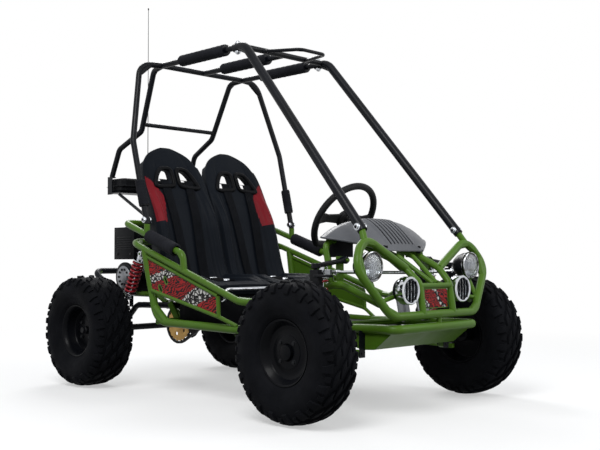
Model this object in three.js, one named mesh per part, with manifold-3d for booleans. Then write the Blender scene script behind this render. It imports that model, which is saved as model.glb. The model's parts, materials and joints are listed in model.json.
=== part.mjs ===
// Two-seat off road go kart for young riders: a tube frame with a bolted roll cage, knobby tyres,
// double-arm front suspension, and a swing arm that carries the chain-driven rear axle.
// Millimetres. The front is -Y, up is +Z, the driver sits on the +X side, and Z is 0 on the ground.
import * as THREE from 'three'
import { mergeVertices } from 'three/addons/utils/BufferGeometryUtils.js'
import Module from 'manifold-3d'

const wasm = await Module()
wasm.setup()

// Clearances and cutters
const gap = 0.3
const runningGap = 0.8
const bendShare = 0.48
const overrun = 30
const tubeSides = 6

// Stance
const wheelbase = 1161
const frontTrack = 863
const rearTrack = 773
const frontAxleY = -wheelbase / 2
const rearAxleY = wheelbase / 2

// Wheels
const tyre = { diameter: 420, frontWidth: 138, rearWidth: 168, beadDiameter: 192, lugHeight: 9, lugs: 12, shoulderLugs: 2.5 }
const axleZ = tyre.diameter / 2
const rim = {
  diameter: 184,
  lip: 6,
  wall: 3,
  frontWidth: 96,
  rearWidth: 113,
  frontDish: 22,
  rearDish: 46.5,
  segments: 10,
  flangeRadius: 50,
  boltCircle: 38,
  boltRadius: 6,
  boltHead: 6,
  bolts: 4,
  hubRadius: 24,
  hubBack: 30,
  capLength: 14,
  axleReach: 30,
  nutRadius: 17,
}

// Frame tubes, by radius
const railRadius = 11
const lowerRadius = 14
const panelTubeRadius = 6.5
const bumperRadius = 12.5
const hoodBarRadius = 10.5
const hoodRibRadius = 7
const lampBarRadius = 6.5
const crossRadius = 10
const pillarRadius = 15
const cageRadius = 10.5
const cageBarRadius = 8
const roofLoopRadius = 6
const railBend = 70
const cageBend = 60
const noseBend = 58
const tightBend = 30

// Side frame: each place is given for the left side, and the right side mirrors it
const side = {
  x: 366,
  railRear: { y: 335, z: 545 },
  railKink: { y: -283, z: 337 },
  railWaist: { x: 258, y: -430, z: 374 },
  railCrest: { x: 234, y: -580, z: 403 },
  railNose: { x: 234, y: -738, z: 345 },
  riserTopY: 246,
  lowerRear: { x: 350, y: 192, z: 258 },
  lowerMid: { x: 340, y: -224, z: 250 },
  lowerTaper: { x: 206, y: -470, z: 264 },
  lowerEnd: { x: 202, y: -700, z: 269 },
  panelRearTop: { y: 234, z: 489 },
  panelRearLow: { y: 202, z: 369 },
  panelFrontLow: { y: -165, z: 290 },
  panelFrontTop: { y: -160, z: 358 },
  panelToeX: 343,
  panelToe: { y: -228, z: 261 },
  sheetThickness: 2,
  slotLength: 26,
  slotWidth: 11,
  slotTurn: 0.96,
  slotUpper: { y: 121, z: 405 },
  slotLower: { y: 152, z: 376 },
  armRear: { y: 374, z: 615 },
  armFront: { y: 27, z: 497 },
  armFoot: { y: 18, z: 440 },
  stubTop: { y: 234, z: 606 },
}

// Rear posts and engine cradle behind the seats
const rear = {
  postX: 215,
  postY: 374,
  cradleZ: 345,
  cradleEndY: 716,
  cradleMidY: 620,
  cradleFrontY: 505,
  floorTubeDrop: 14,
}

// Nose: bumper tube with its two headlamp loops, the lower nose tube and the hood bars
const nose = {
  loopRoot: { x: 86, y: -718, z: 449 },
  loopTop: { x: 266, y: -698, z: 548 },
  loopSide: { x: 330, y: -729, z: 452 },
  loopLow: { x: 214, y: -766, z: 307 },
  barY: -780,
  barZ: 309,
  lowCorner: { x: 204, y: -774, z: 269 },
  lowY: -779,
  lowZ: 270,
  hoodRear: { x: 86, y: -531, z: 528 },
  hoodWaist: { x: 84, y: -650, z: 483 },
  hoodKnee: { x: 76, y: -764, z: 404 },
  hoodFoot: { x: 77, y: -778, z: 312 },
  ribRear: { x: 38, y: -531, z: 531 },
  ribWaist: { x: 37, y: -655, z: 484 },
  ribFoot: { x: 10, y: -764, z: 403 },
  plateBarZ: 396,
  plateBarY: -768,
  lampBarLow: { x: 252, y: -749, z: 350 },
  lampBarIn: { x: 105, y: -716, z: 372 },
  stubFoot: { x: 259, y: -703, z: 528 },
  stubTop: { x: 246, y: -680, z: 566 },
}

// Roll cage
const cage = {
  aBottom: { x: 246, y: -684, z: 562 },
  aTop: { x: 210, y: -118, z: 1221 },
  aEnd: { x: 205, y: -60, z: 1220 },
  bBottom: { x: 365.5, y: 234, z: 606 },
  bKink: { x: 372, y: 313, z: 914 },
  bTop: { x: 298, y: 378, z: 1219 },
  jointX: 205,
  jointY: 363,
  roofZ: 1222,
  stayTop: { x: 196, y: 428, z: 1214 },
  stayKink: { x: 181, y: 530, z: 988 },
  stayElbow: { x: 194, y: 664, z: 926 },
  stayFoot: { x: 201, y: 706, z: 816 },
  stayBar: { y: 518, z: 1015 },
  stayBarX: 182,
  frontBarY: -96,
  loopFootX: 110,
  loopCorner: { x: 62, y: -244 },
  centreDrop: 4,
  loopDrop: 12,
}

// Foam sleeves
const foam = {
  roofRadius: 20.5,
  roofFrontY: -14,
  roofRearY: 242,
  armRadius: 23,
  armFrontY: 64,
  armRearY: 222,
  pillarRadius: 17.5,
  pillarTopZ: 766,
  pillarLowZ: 672,
}

// Cowl, dash bar and steering column
const dash = { x: 238, y: -520, z: 536, footY: -548, footZ: 405, bend: 34, radius: 9.5 }
const cowl = {
  rearY: -476,
  frontY: -655,
  rearHalf: 205,
  midHalf: 246,
  frontHalf: 84,
  sideZ: 549,
  frontZ: 506,
  crownZ: 608,
  rearDrop: 6,
  wall: 3,
  across: 8,
  along: 5,
  swellShare: 0.3,
  crestShare: 0.3,
  taperPower: 1.3,
  fallPower: 1.45,
  domePower: 2.6,
  slots: 7,
  slotWidth: 6,
  slotPitch: 18.4,
  slotRearY: -560,
  slotFrontY: -638,
  skirtShares: [0.1, 0.58],
  skirtInset: 22,
  skirtLowZ: 484,
  bossY: -640,
  bossRadius: 6,
  rearBossShare: 0.8,
}
const steering = {
  centre: { x: 139, y: -265, z: 623 },
  tilt: 0.584,
  wheelRadius: 136,
  gripRadius: 12,
  flatShare: 0.78,
  spokeAngles: [0, Math.PI, -Math.PI / 2],
  lowSpoke: -Math.PI / 2,
  spokeWidth: 34,
  spokeThickness: 7,
  hubRadius: 34,
  hubDepth: 26,
  columnRadius: 9,
  columnLength: 400,
  sleeveRadius: 15,
  sleeveLength: 60,
  sleeveStart: 268,
  sleevePlate: 6,
  sleevePlateDepth: 30,
  pitmanLength: 27,
  pitmanWidth: 26,
  pitmanThickness: 6,
}

// Front suspension, left side
const wheelInset = 91.5
const arm = {
  innerX: 214,
  outerX: frontTrack / 2 - wheelInset,
  rise: 17,
  upperZ: 458,
  lowerZ: 176,
  spread: 56,
  lowerRadius: 7,
  upperRadius: 8,
  eyeRadius: 12,
  eyeWidth: 24,
  boltRadius: 5,
  tabThickness: 4,
  legShare: 0.08,
  endShare: 0.93,
  shockLow: { x: 296, y: -547, z: 206 },
  shockTop: { x: 272, y: -547, z: 449 },
  shockTabDepth: 14,
  ballRadius: 9,
  ringHalf: 8,
  ringWall: 5,
  ballPin: 6,
}
const knuckle = {
  postWidth: 34,
  postDepth: 20,
  spindleRadius: 9,
  spindleLength: 118,
  flangeReach: 20,
  studLength: 24,
  steerArmY: -642,
  steerArmZ: 428,
  steerArmThickness: 7,
  steerArmWidth: 22,
  ringGap: 1.9,
}
const tieRod = { radius: 6, endRadius: 11, endHeight: 16, endLength: 30, innerX: 16, jointGap: 0.5, nutLength: 22, nutRadius: 8 }

// Coil-over shocks
const shock = {
  bodyRadius: 11,
  rodRadius: 5,
  eyeRadius: 11,
  eyeWidth: 20,
  perchThickness: 4,
  perchDrop: 30,
  perchRise: 22,
  front: { coils: 6, coilRadius: 15.5, wireRadius: 3, perchRadius: 19 },
  rear: { coils: 7, coilRadius: 20, wireRadius: 4, perchRadius: 25 },
  coilSteps: 8,
  wireSides: 5,
  bodyShare: 0.5,
}

// Rear suspension and drive
const swing = {
  pivot: { y: 232, z: 310 },
  armX: 254,
  legX: 240,
  kneeY: 470,
  kneeZ: 304,
  radius: 12,
  pivotRadius: 13,
  plateThickness: 6,
  pinLength: 22,
  carrierRadius: 34,
  carrierHalf: 12,
  tabRise: 4,
  tabDepth: 6,
  shockX: 255,
  shockLow: { x: 255, y: 508, z: 333 },
  shockTop: { x: 255, y: 424, z: 500 },
}
const axle = { radius: 12.5, hubLength: 58, hubRadius: 21, collarRadius: 19, collarLength: 16, flangeThickness: 6 }
const sprocket = { x: 47, radius: 70, teeth: 20, toothDepth: 5, thickness: 5, holes: 5, holeRadius: 9, holeCircle: 42 }
const disc = {
  x: 108,
  radius: 62,
  thickness: 4,
  holes: 4,
  holeRadius: 6,
  holeCircle: 47,
  calliperWidth: 34,
  padDepth: 36,
  bridge: 9,
  calliperHeight: 48,
  calliperRise: 22,
  stayRadius: 7,
  stayY: 500,
  stayZ: 286,
}
const jack = {
  y: 300,
  z: 311,
  radius: 20,
  teeth: 7,
  toothDepth: 5,
  shaftRadius: 9,
  hubBite: 1,
  blockRadius: 17,
  blockHalf: 12,
  pulleyX: -130,
  pulleyHalf: 17,
  pulleyRadius: 44,
  pulleyCore: 24,
  pulleyFlange: 6,
}
const chain = { height: 10, width: 9, clearance: 1.5, swingSlack: 4.5, arcSteps: 12 }

// Seats
const seat = {
  innerX: 3,
  outerX: 300,
  frontY: -52,
  frontZ: 372,
  hipY: 232,
  hipZ: 376,
  topY: 424,
  topZ: 926,
  sink: 10,
  hipRise: 26,
  bolster: 42,
  bolsterEnd: 1.3,
  bolsterPower: 0.3,
  crown: 5,
  thickness: 58,
  topThickness: 46,
  rows: 14,
  headShare: 0.72,
  headPower: 2.6,
  toeShare: 0.1,
  toeDraw: 0.12,
  edgeDraw: 0.45,
  tipShare: 0.3,
  boxFrontY: -40,
  boxRearY: 168,
  boxHalf: 118,
  boxTopZ: 352,
  holeZ: 792,
  holeOut: 56,
  holeWidth: 66,
  holeHeight: 42,
  holeTurn: 0.5,
  barY: -66,
  barZ: 374,
  barRadius: 7,
  barOut: 100,
  barRootY: -30,
  barLowZ: 334,
  barBend: 14,
}
const belt = {
  width: 44,
  thickness: 2.5,
  lift: 2.1,
  topU: 0.83,
  lowU: 0.2,
  hipShare: 0.4,
  footShare: 0.2,
  lapIn: 66,
  slack: 0.04,
  buckleWidth: 56,
  buckleLength: 62,
  buckleThickness: 16,
}

// Engine, tank and exhaust
const engine = {
  lowX: -228,
  highX: -40,
  frontY: 484,
  rearY: 640,
  baseTop: 388,
  caseTop: 442,
  caseShare: 0.12,
  headX: -134,
  headWidth: 104,
  headDepth: 118,
  headTop: 462,
  finCount: 3,
  finThickness: 4,
  finReach: 10,
  coverLowX: -256,
  coverHighX: -102,
  coverFrontY: 472,
  coverRearY: 606,
  coverTopZ: 622,
  coverBevel: 20,
}
const tank = {
  half: 199,
  frontY: 620,
  rearY: 742,
  lowZ: 752,
  seamZ: 776,
  topZ: 809,
  flange: 7,
  flangeThickness: 3,
  bevel: 14,
  capX: -60,
  capRadius: 26,
  capHeight: 18,
}
const rackStrut = { radius: 7, x: 205, y: 646, z: 742, footX: 215, footZ: 606, plate: 4, width: 30 }
const bumper = { radius: 12, z: 432, y: 781, half: 236, rootY: 668 }
const antenna = { x: -94, y: 608, topZ: 1516, radius: 1.8, baseRadius: 7, baseHeight: 26, tabWidth: 20 }

// Lamps and plate
const headlamp = { x: 252, y: -728, z: 456, radius: 45, depth: 62, rimWidth: 5, lensInset: 3, lensDome: 7, lensShare: 0.55, domeShare: 0.7, backShare: 0.45 }
const fogLamp = { x: 134, y: -775, z: 383, radius: 42, depth: 46, bars: 3, barHeight: 4, ring: 6, ringDepth: 8, face: 4 }
const plate = { half: 61, low: 326, thickness: 2.5 }
const silencer = {
  y: 690,
  z: 410,
  lowX: 20,
  highX: 196,
  radius: 38,
  cap: 6,
  pipeRadius: 11,
  elbowX: 60,
  tailX: 150,
  tailY: 748,
  footX: 110,
  footY: 712,
  footWidth: 60,
  footDepth: 20,
  footShare: 0.8,
}
const hex = { radius: 7, thickness: 5, edge: 16 }
const pan = {
  thickness: 2.5,
  rearY: 181,
  trayHalf: 186,
  tray: [[-778, 266], [-762, 262], [-690, 206], [-640, 203], [-470, 246.6]],
}
const pedal = {
  width: 58,
  height: 76,
  thickness: 6,
  y: -600,
  z: 283,
  shaftRadius: 6,
  throttleX: 166,
  brakeX: 62,
  armLength: 96,
  armRadius: 6,
  hubRadius: 12,
  hubHalf: 12,
  lean: 0.21,
}

// Finishes
const frameGreen = { color: 0x5f8a34, roughness: 0.35, metalness: 0.1 }
const cageBlack = { color: 0x15171c, roughness: 0.4, metalness: 0.2 }
const rubber = { color: 0x17181a, roughness: 0.85, metalness: 0 }
const rimBlack = { color: 0x101112, roughness: 0.35, metalness: 0.3 }
const chrome = { color: 0xc9ccd0, roughness: 0.12, metalness: 1 }
const steel = { color: 0x8d8f92, roughness: 0.4, metalness: 0.9 }
const darkSteel = { color: 0x1b1c1e, roughness: 0.5, metalness: 0.5 }
const foamBlack = { color: 0x1c1d20, roughness: 0.95, metalness: 0 }
const vinyl = { color: 0x25292f, roughness: 0.6, metalness: 0 }
const cowlGrey = { color: 0x4a4d52, roughness: 0.55, metalness: 0 }
const springRed = { color: 0xab2832, roughness: 0.4, metalness: 0.1 }
const bronze = { color: 0xb08a3e, roughness: 0.35, metalness: 0.9 }
const webbing = { color: 0x1a1b1e, roughness: 0.9, metalness: 0 }
const plateRed = { color: 0xb02a2e, roughness: 0.5, metalness: 0 }

const V = (x, y, z) => new THREE.Vector3(x, y, z)
const at = (place, hand = 1) => V(hand * place.x, place.y, place.z)
const onSide = (place, hand = 1) => V(hand * side.x, place.y, place.z)
const kart = new THREE.Group()

// Solids
function toSolid(geometry) {
  const bare = new THREE.BufferGeometry()
  bare.setAttribute('position', geometry.getAttribute('position').clone())
  if (geometry.index) bare.setIndex(geometry.index.clone())
  const merged = mergeVertices(bare)
  const points = merged.getAttribute('position')
  const corners = merged.index.array
  const kept = []
  let volume = 0
  const a = V(0, 0, 0)
  const b = V(0, 0, 0)
  const c = V(0, 0, 0)
  for (let i = 0; i < corners.length; i += 3) {
    const [p, q, r] = [corners[i], corners[i + 1], corners[i + 2]]
    if (p === q || q === r || r === p) continue
    kept.push(p, q, r)
    a.fromBufferAttribute(points, p)
    b.fromBufferAttribute(points, q)
    c.fromBufferAttribute(points, r)
    volume += a.dot(b.cross(c))
  }
  if (volume < 0) kept.reverse()
  const vertProperties = new Float32Array(points.array)
  return new wasm.Manifold(new wasm.Mesh({ numProp: 3, vertProperties, triVerts: new Uint32Array(kept) }))
}

function toGeometry(solid) {
  const { vertProperties, triVerts, numProp } = solid.getMesh()
  const positions = new Float32Array((vertProperties.length / numProp) * 3)
  for (let i = 0; i < positions.length / 3; i++) {
    for (let k = 0; k < 3; k++) positions[i * 3 + k] = vertProperties[i * numProp + k]
  }
  const geometry = new THREE.BufferGeometry()
  geometry.setAttribute('position', new THREE.BufferAttribute(positions, 3))
  geometry.setIndex(new THREE.BufferAttribute(new Uint32Array(triVerts), 1))
  geometry.computeVertexNormals()
  return geometry
}

const join = (solids) => solids.reduce((whole, next) => whole.add(next))
const cut = (solid, cutters) => cutters.reduce((rest, cutter) => rest.subtract(cutter), solid)

function piece(name, solid, finish) {
  const mesh = new THREE.Mesh(toGeometry(solid), new THREE.MeshStandardMaterial(finish))
  mesh.name = name
  kart.add(mesh)
  return mesh
}

// A path through straight runs and rounded corners, sampled only where it bends
class BentPath extends THREE.Curve {
  constructor(stations) {
    super()
    this.stations = stations
  }

  getPoint(t) {
    return this.stations[Math.round(t * (this.stations.length - 1))].clone()
  }

  getPointAt(u) {
    return this.getPoint(u)
  }

  getTangentAt(u) {
    const last = this.stations.length - 1
    const k = Math.round(u * last)
    const here = this.stations[k]
    const before = here.clone().sub(this.stations[Math.max(k - 1, 0)]).normalize()
    const after = this.stations[Math.min(k + 1, last)].clone().sub(here).normalize()
    return before.add(after).normalize()
  }
}

const turnPerStep = Math.PI / 3.3

function roundCorners(points, bend) {
  const stations = [points[0].clone()]
  for (let i = 1; i < points.length - 1; i++) {
    const back = points[i - 1].clone().sub(points[i])
    const ahead = points[i + 1].clone().sub(points[i])
    const room = Math.min(back.length(), ahead.length()) * bendShare
    back.normalize()
    ahead.normalize()
    const turn = Math.PI - back.angleTo(ahead)
    const reach = Math.min(bend * Math.tan(turn / 2), room)
    const radius = reach / Math.tan(turn / 2)
    const inward = ahead.clone().addScaledVector(back, -ahead.dot(back)).normalize()
    const centre = points[i].clone().addScaledVector(back, reach).addScaledVector(inward, radius)
    const steps = Math.max(1, Math.round(turn / turnPerStep))
    for (let k = 0; k <= steps; k++) {
      const angle = (turn * k) / steps
      const station = centre.clone().addScaledVector(inward, -radius * Math.cos(angle))
      stations.push(station.addScaledVector(back, -radius * Math.sin(angle)))
    }
  }
  stations.push(points.at(-1).clone())
  return stations
}

function roundShape(radius, sides) {
  const points = []
  for (let i = 0; i < sides; i++) {
    const angle = ((i + 0.5) / sides) * 2 * Math.PI
    points.push(new THREE.Vector2(radius * Math.cos(angle), radius * Math.sin(angle)))
  }
  return new THREE.Shape(points)
}

// A tube. extra grows it all round and past its ends, for cutting what touches it.
function tube({ points, radius, bend = railBend, sides = tubeSides }, extra = 0) {
  const stations = roundCorners(points, bend)
  const first = stations[0].clone().sub(stations[1]).setLength(extra)
  const last = stations.at(-1).clone().sub(stations.at(-2)).setLength(extra)
  stations[0].add(first)
  stations.at(-1).add(last)
  const extrudePath = new BentPath(stations)
  const options = { extrudePath, steps: stations.length - 1, bevelEnabled: false }
  return toSolid(new THREE.ExtrudeGeometry(roundShape(radius + extra, sides), options))
}

const tubes = (specs, extra = 0) => join(specs.map((spec) => tube(spec, extra)))
const rod = (from, to, radius, sides = tubeSides, extra = 0) => tube({ points: [from, to], radius, sides }, extra)

function block(size, centre, turn = new THREE.Euler()) {
  const geometry = new THREE.BoxGeometry(size.x, size.y, size.z)
  const matrix = new THREE.Matrix4().makeRotationFromEuler(turn).setPosition(centre)
  return toSolid(geometry.applyMatrix4(matrix))
}

// A solid of revolution about a line: profile pairs are [radius, distance along the line]
function turned(profile, from, direction, segments = 24) {
  const points = profile.map(([radius, along]) => new THREE.Vector2(radius, along))
  const geometry = new THREE.LatheGeometry(points, segments)
  const turn = new THREE.Quaternion().setFromUnitVectors(V(0, 1, 0), direction.clone().normalize())
  return toSolid(geometry.applyMatrix4(new THREE.Matrix4().compose(from, turn, V(1, 1, 1))))
}

// A flat plate from an outline in its own X and Y, placed by a matrix
function sheet(shape, thickness, matrix) {
  const geometry = new THREE.ExtrudeGeometry(shape, { depth: thickness, bevelEnabled: false, curveSegments: 2 })
  return toSolid(geometry.translate(0, 0, -thickness / 2).applyMatrix4(matrix))
}

const outline = (pairs) => new THREE.Shape(pairs.map(([x, y]) => new THREE.Vector2(x, y)))

function stadium(length, width) {
  const shape = new THREE.Shape()
  const half = (length - width) / 2
  shape.absarc(half, 0, width / 2, -Math.PI / 2, Math.PI / 2)
  shape.absarc(-half, 0, width / 2, Math.PI / 2, (3 * Math.PI) / 2)
  return shape
}

const basis = (xAxis, yAxis, zAxis, origin) => new THREE.Matrix4().makeBasis(xAxis, yAxis, zAxis).setPosition(origin)
const X = V(1, 0, 0)
const Y = V(0, 1, 0)
const Z = V(0, 0, 1)

// Side frames: the lower rail with its riser, the upper rail, the panel and the armrest hoop
const postTop = (z, hand) => V(hand * rear.postX, rear.postY, z)

function sideTubes(hand) {
  const upper = [
    postTop(side.railRear.z, hand),
    onSide(side.railRear, hand),
    onSide(side.railKink, hand),
    at(side.railWaist, hand),
    at(side.railCrest, hand),
    at(side.railNose, hand),
  ]
  const railSlope = (side.railRear.z - side.railKink.z) / (side.railRear.y - side.railKink.y)
  const railZ = (y) => side.railRear.z + railSlope * (y - side.railRear.y)
  const lower = [
    onSide({ y: side.riserTopY, z: railZ(side.riserTopY) }, hand),
    at(side.lowerRear, hand),
    at(side.lowerMid, hand),
    at(side.lowerTaper, hand),
    at(side.lowerEnd, hand),
  ]
  const armrest = [
    postTop(side.armRear.z, hand),
    onSide(side.armRear, hand),
    onSide(side.armFront, hand),
    onSide({ y: side.armFoot.y, z: railZ(side.armFoot.y) }, hand),
  ]
  const panelTop = [onSide(side.panelRearTop, hand), onSide(side.panelFrontTop, hand)]
  const panelToe = V(hand * side.panelToeX, side.panelToe.y, side.panelToe.z)
  const panelLow = [onSide(side.panelRearLow, hand), onSide(side.panelFrontLow, hand), panelToe]
  const panelFront = [onSide(side.panelFrontTop, hand), onSide(side.panelFrontLow, hand)]
  const armSlope = (side.armRear.z - side.armFront.z) / (side.armRear.y - side.armFront.y)
  const armZ = side.armRear.z + armSlope * (side.stubTop.y - side.armRear.y)
  const stub = [onSide({ y: side.stubTop.y, z: armZ }, hand), onSide(side.stubTop, hand)]
  return [
    { points: upper, radius: railRadius, sides: 8 },
    { points: lower, radius: lowerRadius, bend: railBend, sides: 8 },
    { points: armrest, radius: railRadius, bend: tightBend },
    { points: panelTop, radius: panelTubeRadius },
    { points: panelLow, radius: panelTubeRadius },
    { points: panelFront, radius: panelTubeRadius },
    { points: stub, radius: cageRadius },
  ]
}

function sidePanel(hand) {
  const corners = [side.panelRearTop, side.panelRearLow, side.panelFrontLow, side.panelFrontTop]
  const shape = outline(corners.map((corner) => [corner.y, corner.z]))
  const flat = basis(Y, Z, X, V(hand * side.x, 0, 0))
  const slots = [side.slotUpper, side.slotLower].map((slot) => {
    const turn = new THREE.Matrix4().makeRotationZ(side.slotTurn)
    const place = new THREE.Matrix4().makeTranslation(slot.y, slot.z, 0)
    return sheet(stadium(side.slotLength, side.slotWidth), overrun, flat.clone().multiply(place).multiply(turn))
  })
  return cut(sheet(shape, side.sheetThickness, flat), slots)
}

// Nose
function noseTubes() {
  const specs = []
  const loop = (hand) => [at(nose.loopRoot, hand), at(nose.loopTop, hand), at(nose.loopSide, hand), at(nose.loopLow, hand)]
  const bar = V(0, nose.barY, nose.barZ)
  specs.push({ points: [...loop(1), bar, ...loop(-1).reverse()], radius: bumperRadius, bend: noseBend, sides: 8 })
  const lowLeft = [at(side.lowerEnd, 1).addScaledVector(Y, -gap), at(nose.lowCorner, 1)]
  const lowRight = [at(nose.lowCorner, -1), at(side.lowerEnd, -1).addScaledVector(Y, -gap)]
  const lowMid = V(0, nose.lowY, nose.lowZ)
  specs.push({ points: [...lowLeft, lowMid, ...lowRight], radius: lowerRadius, bend: tightBend })
  specs.push({ points: [bar, lowMid], radius: cageBarRadius })
  for (const hand of [1, -1]) {
    const hood = [nose.hoodRear, nose.hoodWaist, nose.loopRoot, nose.hoodKnee, nose.hoodFoot]
    specs.push({ points: hood.map((place) => at(place, hand)), radius: hoodBarRadius, bend: tightBend })
    const rib = [nose.ribRear, nose.ribWaist, nose.ribFoot]
    specs.push({ points: rib.map((place) => at(place, hand)), radius: hoodRibRadius, bend: tightBend })
    specs.push({ points: [at(nose.stubFoot, hand), at(nose.stubTop, hand)], radius: cageRadius })
  }
  const plateBar = [1, -1].map((hand) => V(hand * nose.hoodKnee.x, nose.plateBarY, nose.plateBarZ))
  specs.push({ points: plateBar, radius: cageBarRadius })
  const lampBar = [at(nose.lampBarLow, 1), at(nose.lampBarIn, 1), at(nose.lampBarIn, -1), at(nose.lampBarLow, -1)]
  specs.push({ points: lampBar, radius: lampBarRadius, bend: tightBend })
  return specs
}

// Cross members: floor and rear cross tubes, posts, cradle, dash hoop, suspension and seat brackets
const crossTubes = () => {
  const across = (x, y, z, radius) => ({ points: [V(x, y, z), V(-x, y, z)], radius })
  const specs = [
    across(side.lowerRear.x, side.lowerRear.y, side.lowerRear.z, crossRadius),
    across(side.lowerMid.x, side.lowerMid.y, side.lowerMid.z - rear.floorTubeDrop, crossRadius),
    across(side.lowerTaper.x, side.lowerTaper.y, side.lowerTaper.z, crossRadius),
    across(rear.postX, rear.postY, side.railRear.z, crossRadius),
    across(rear.postX, rear.postY, side.armRear.z, crossRadius),
    across(rear.postX, rear.cradleEndY, rear.cradleZ, crossRadius),
    across(rear.postX, rear.cradleMidY, rear.cradleZ, crossRadius),
    across(rear.postX, rear.cradleFrontY, rear.cradleZ, crossRadius),
  ]
  for (const hand of [1, -1]) {
    const x = hand * rear.postX
    const toe = V(x, side.lowerRear.y, side.lowerRear.z)
    const heel = V(x, rear.postY, rear.cradleZ)
    specs.push({ points: [toe, heel, V(x, rear.cradleEndY, rear.cradleZ)], radius: crossRadius, bend: tightBend })
    specs.push({ points: [heel, postTop(side.armRear.z, hand)], radius: crossRadius })
  }
  const foot = (hand) => V(hand * dash.x, dash.footY, dash.footZ)
  const shoulder = (hand) => V(hand * dash.x, dash.y, dash.z)
  specs.push({ points: [foot(1), shoulder(1), shoulder(-1), foot(-1)], radius: dash.radius, bend: dash.bend })
  return specs
}

// Wheels
function tyreSolid(width, centre) {
  const radius = tyre.diameter / 2
  const bead = tyre.beadDiameter / 2
  const carcass = radius - tyre.lugHeight
  const shares = [
    [0, 0.29], [0.12, 0.4], [0.5, 0.5], [0.88, 0.44], [1, 0.24],
  ]
  const half = shares.map(([reach, across]) => [bead + reach * (carcass - bead), across * width])
  const section = [...half, ...half.slice().reverse().map(([r, x]) => [r, -x])]
  const points = section.map(([r, x]) => new THREE.Vector2(r, x))
  points.push(points[0].clone())
  const segments = tyre.lugs * 2
  const geometry = new THREE.LatheGeometry(points, segments)
  const place = geometry.getAttribute('position')
  const spot = V(0, 0, 0)
  for (let i = 0; i < place.count; i++) {
    spot.fromBufferAttribute(place, i)
    const reach = Math.hypot(spot.x, spot.z)
    if (reach < carcass - tyre.lugHeight * tyre.shoulderLugs) continue
    const step = Math.round((Math.atan2(spot.x, spot.z) / (2 * Math.PI)) * segments)
    const raised = (step + (spot.y > 0 ? 1 : 0)) % 2 === 0
    if (!raised) continue
    const grown = (reach + tyre.lugHeight) / reach
    place.setXYZ(i, spot.x * grown, spot.y, spot.z * grown)
  }
  const turn = new THREE.Matrix4().makeRotationZ(-Math.PI / 2).setPosition(centre)
  return toSolid(geometry.applyMatrix4(turn))
}

// One-piece pressed rim with a dished centre, opening to the outside
function rimSolid(width, dish, hole, centre, hand) {
  const bore = clearOf(hole, rim.segments)
  const w = width / 2
  const seat = (tyre.beadDiameter / 2) * Math.cos(Math.PI / tyre.lugs / 2) - gap
  const lip = rim.diameter / 2 + rim.lip
  const inside = seat - rim.lip - rim.wall
  const face = w - dish
  const profile = [
    [bore, face - rim.wall * 2], [inside, face - rim.wall * 2], [inside, -w + rim.lip * 3], [seat - rim.wall, -w],
    [lip, -w], [lip, -w + rim.wall], [seat, -w + rim.wall * 2], [inside + rim.wall, -w + rim.lip * 4],
    [inside + rim.wall, w - rim.lip * 4], [seat, w - rim.wall * 2], [lip, w - rim.wall], [lip, w],
    [seat - rim.wall, w], [inside, face], [bore, face], [bore, face - rim.wall * 2],
  ]
  return turned(profile, centre, V(hand, 0, 0), rim.segments)
}

// A bore with flat facets is made wider, so that a round pin of this radius still fits it
const clearOf = (radius, sides) => radius / Math.cos(Math.PI / sides)

// A ring with a bore, from -half to +half along its axis
function ring(outer, hole, half, centre, direction, segments = 6) {
  const bore = clearOf(hole, segments)
  const profile = [[bore, -half], [outer, -half], [outer, half], [bore, half], [bore, -half]]
  return turned(profile, centre, direction, segments)
}

// Coil spring: one wire from perch to perch, with short straight ends that stand on the perches
function springSolid(from, to, { coils, coilRadius, wireRadius }) {
  const along = to.clone().sub(from)
  const length = along.length()
  along.normalize()
  const across = V(0, 0, 1).cross(along).normalize()
  const other = along.clone().cross(across)
  const end = wireRadius * 2
  const steps = coils * shock.coilSteps
  const rise = (length - end * 2) / steps
  const spot = (k, reach) => {
    const angle = (k / shock.coilSteps) * 2 * Math.PI
    const ringSpot = across.clone().multiplyScalar(Math.cos(angle)).addScaledVector(other, Math.sin(angle))
    return from.clone().addScaledVector(ringSpot, coilRadius).addScaledVector(along, reach)
  }
  const stations = [spot(0, 0)]
  for (let k = 0; k <= steps; k++) stations.push(spot(k, end + k * rise))
  stations.push(spot(steps, length))
  const apart = (rise * shock.coilSteps - wireRadius * 2).toFixed(2)
  console.log(`spring: least gap between its turns ${apart} mm`)
  const options = { extrudePath: new BentPath(stations), steps: stations.length - 1, bevelEnabled: false }
  return toSolid(new THREE.ExtrudeGeometry(roundShape(wireRadius, shock.wireSides), options))
}

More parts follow.
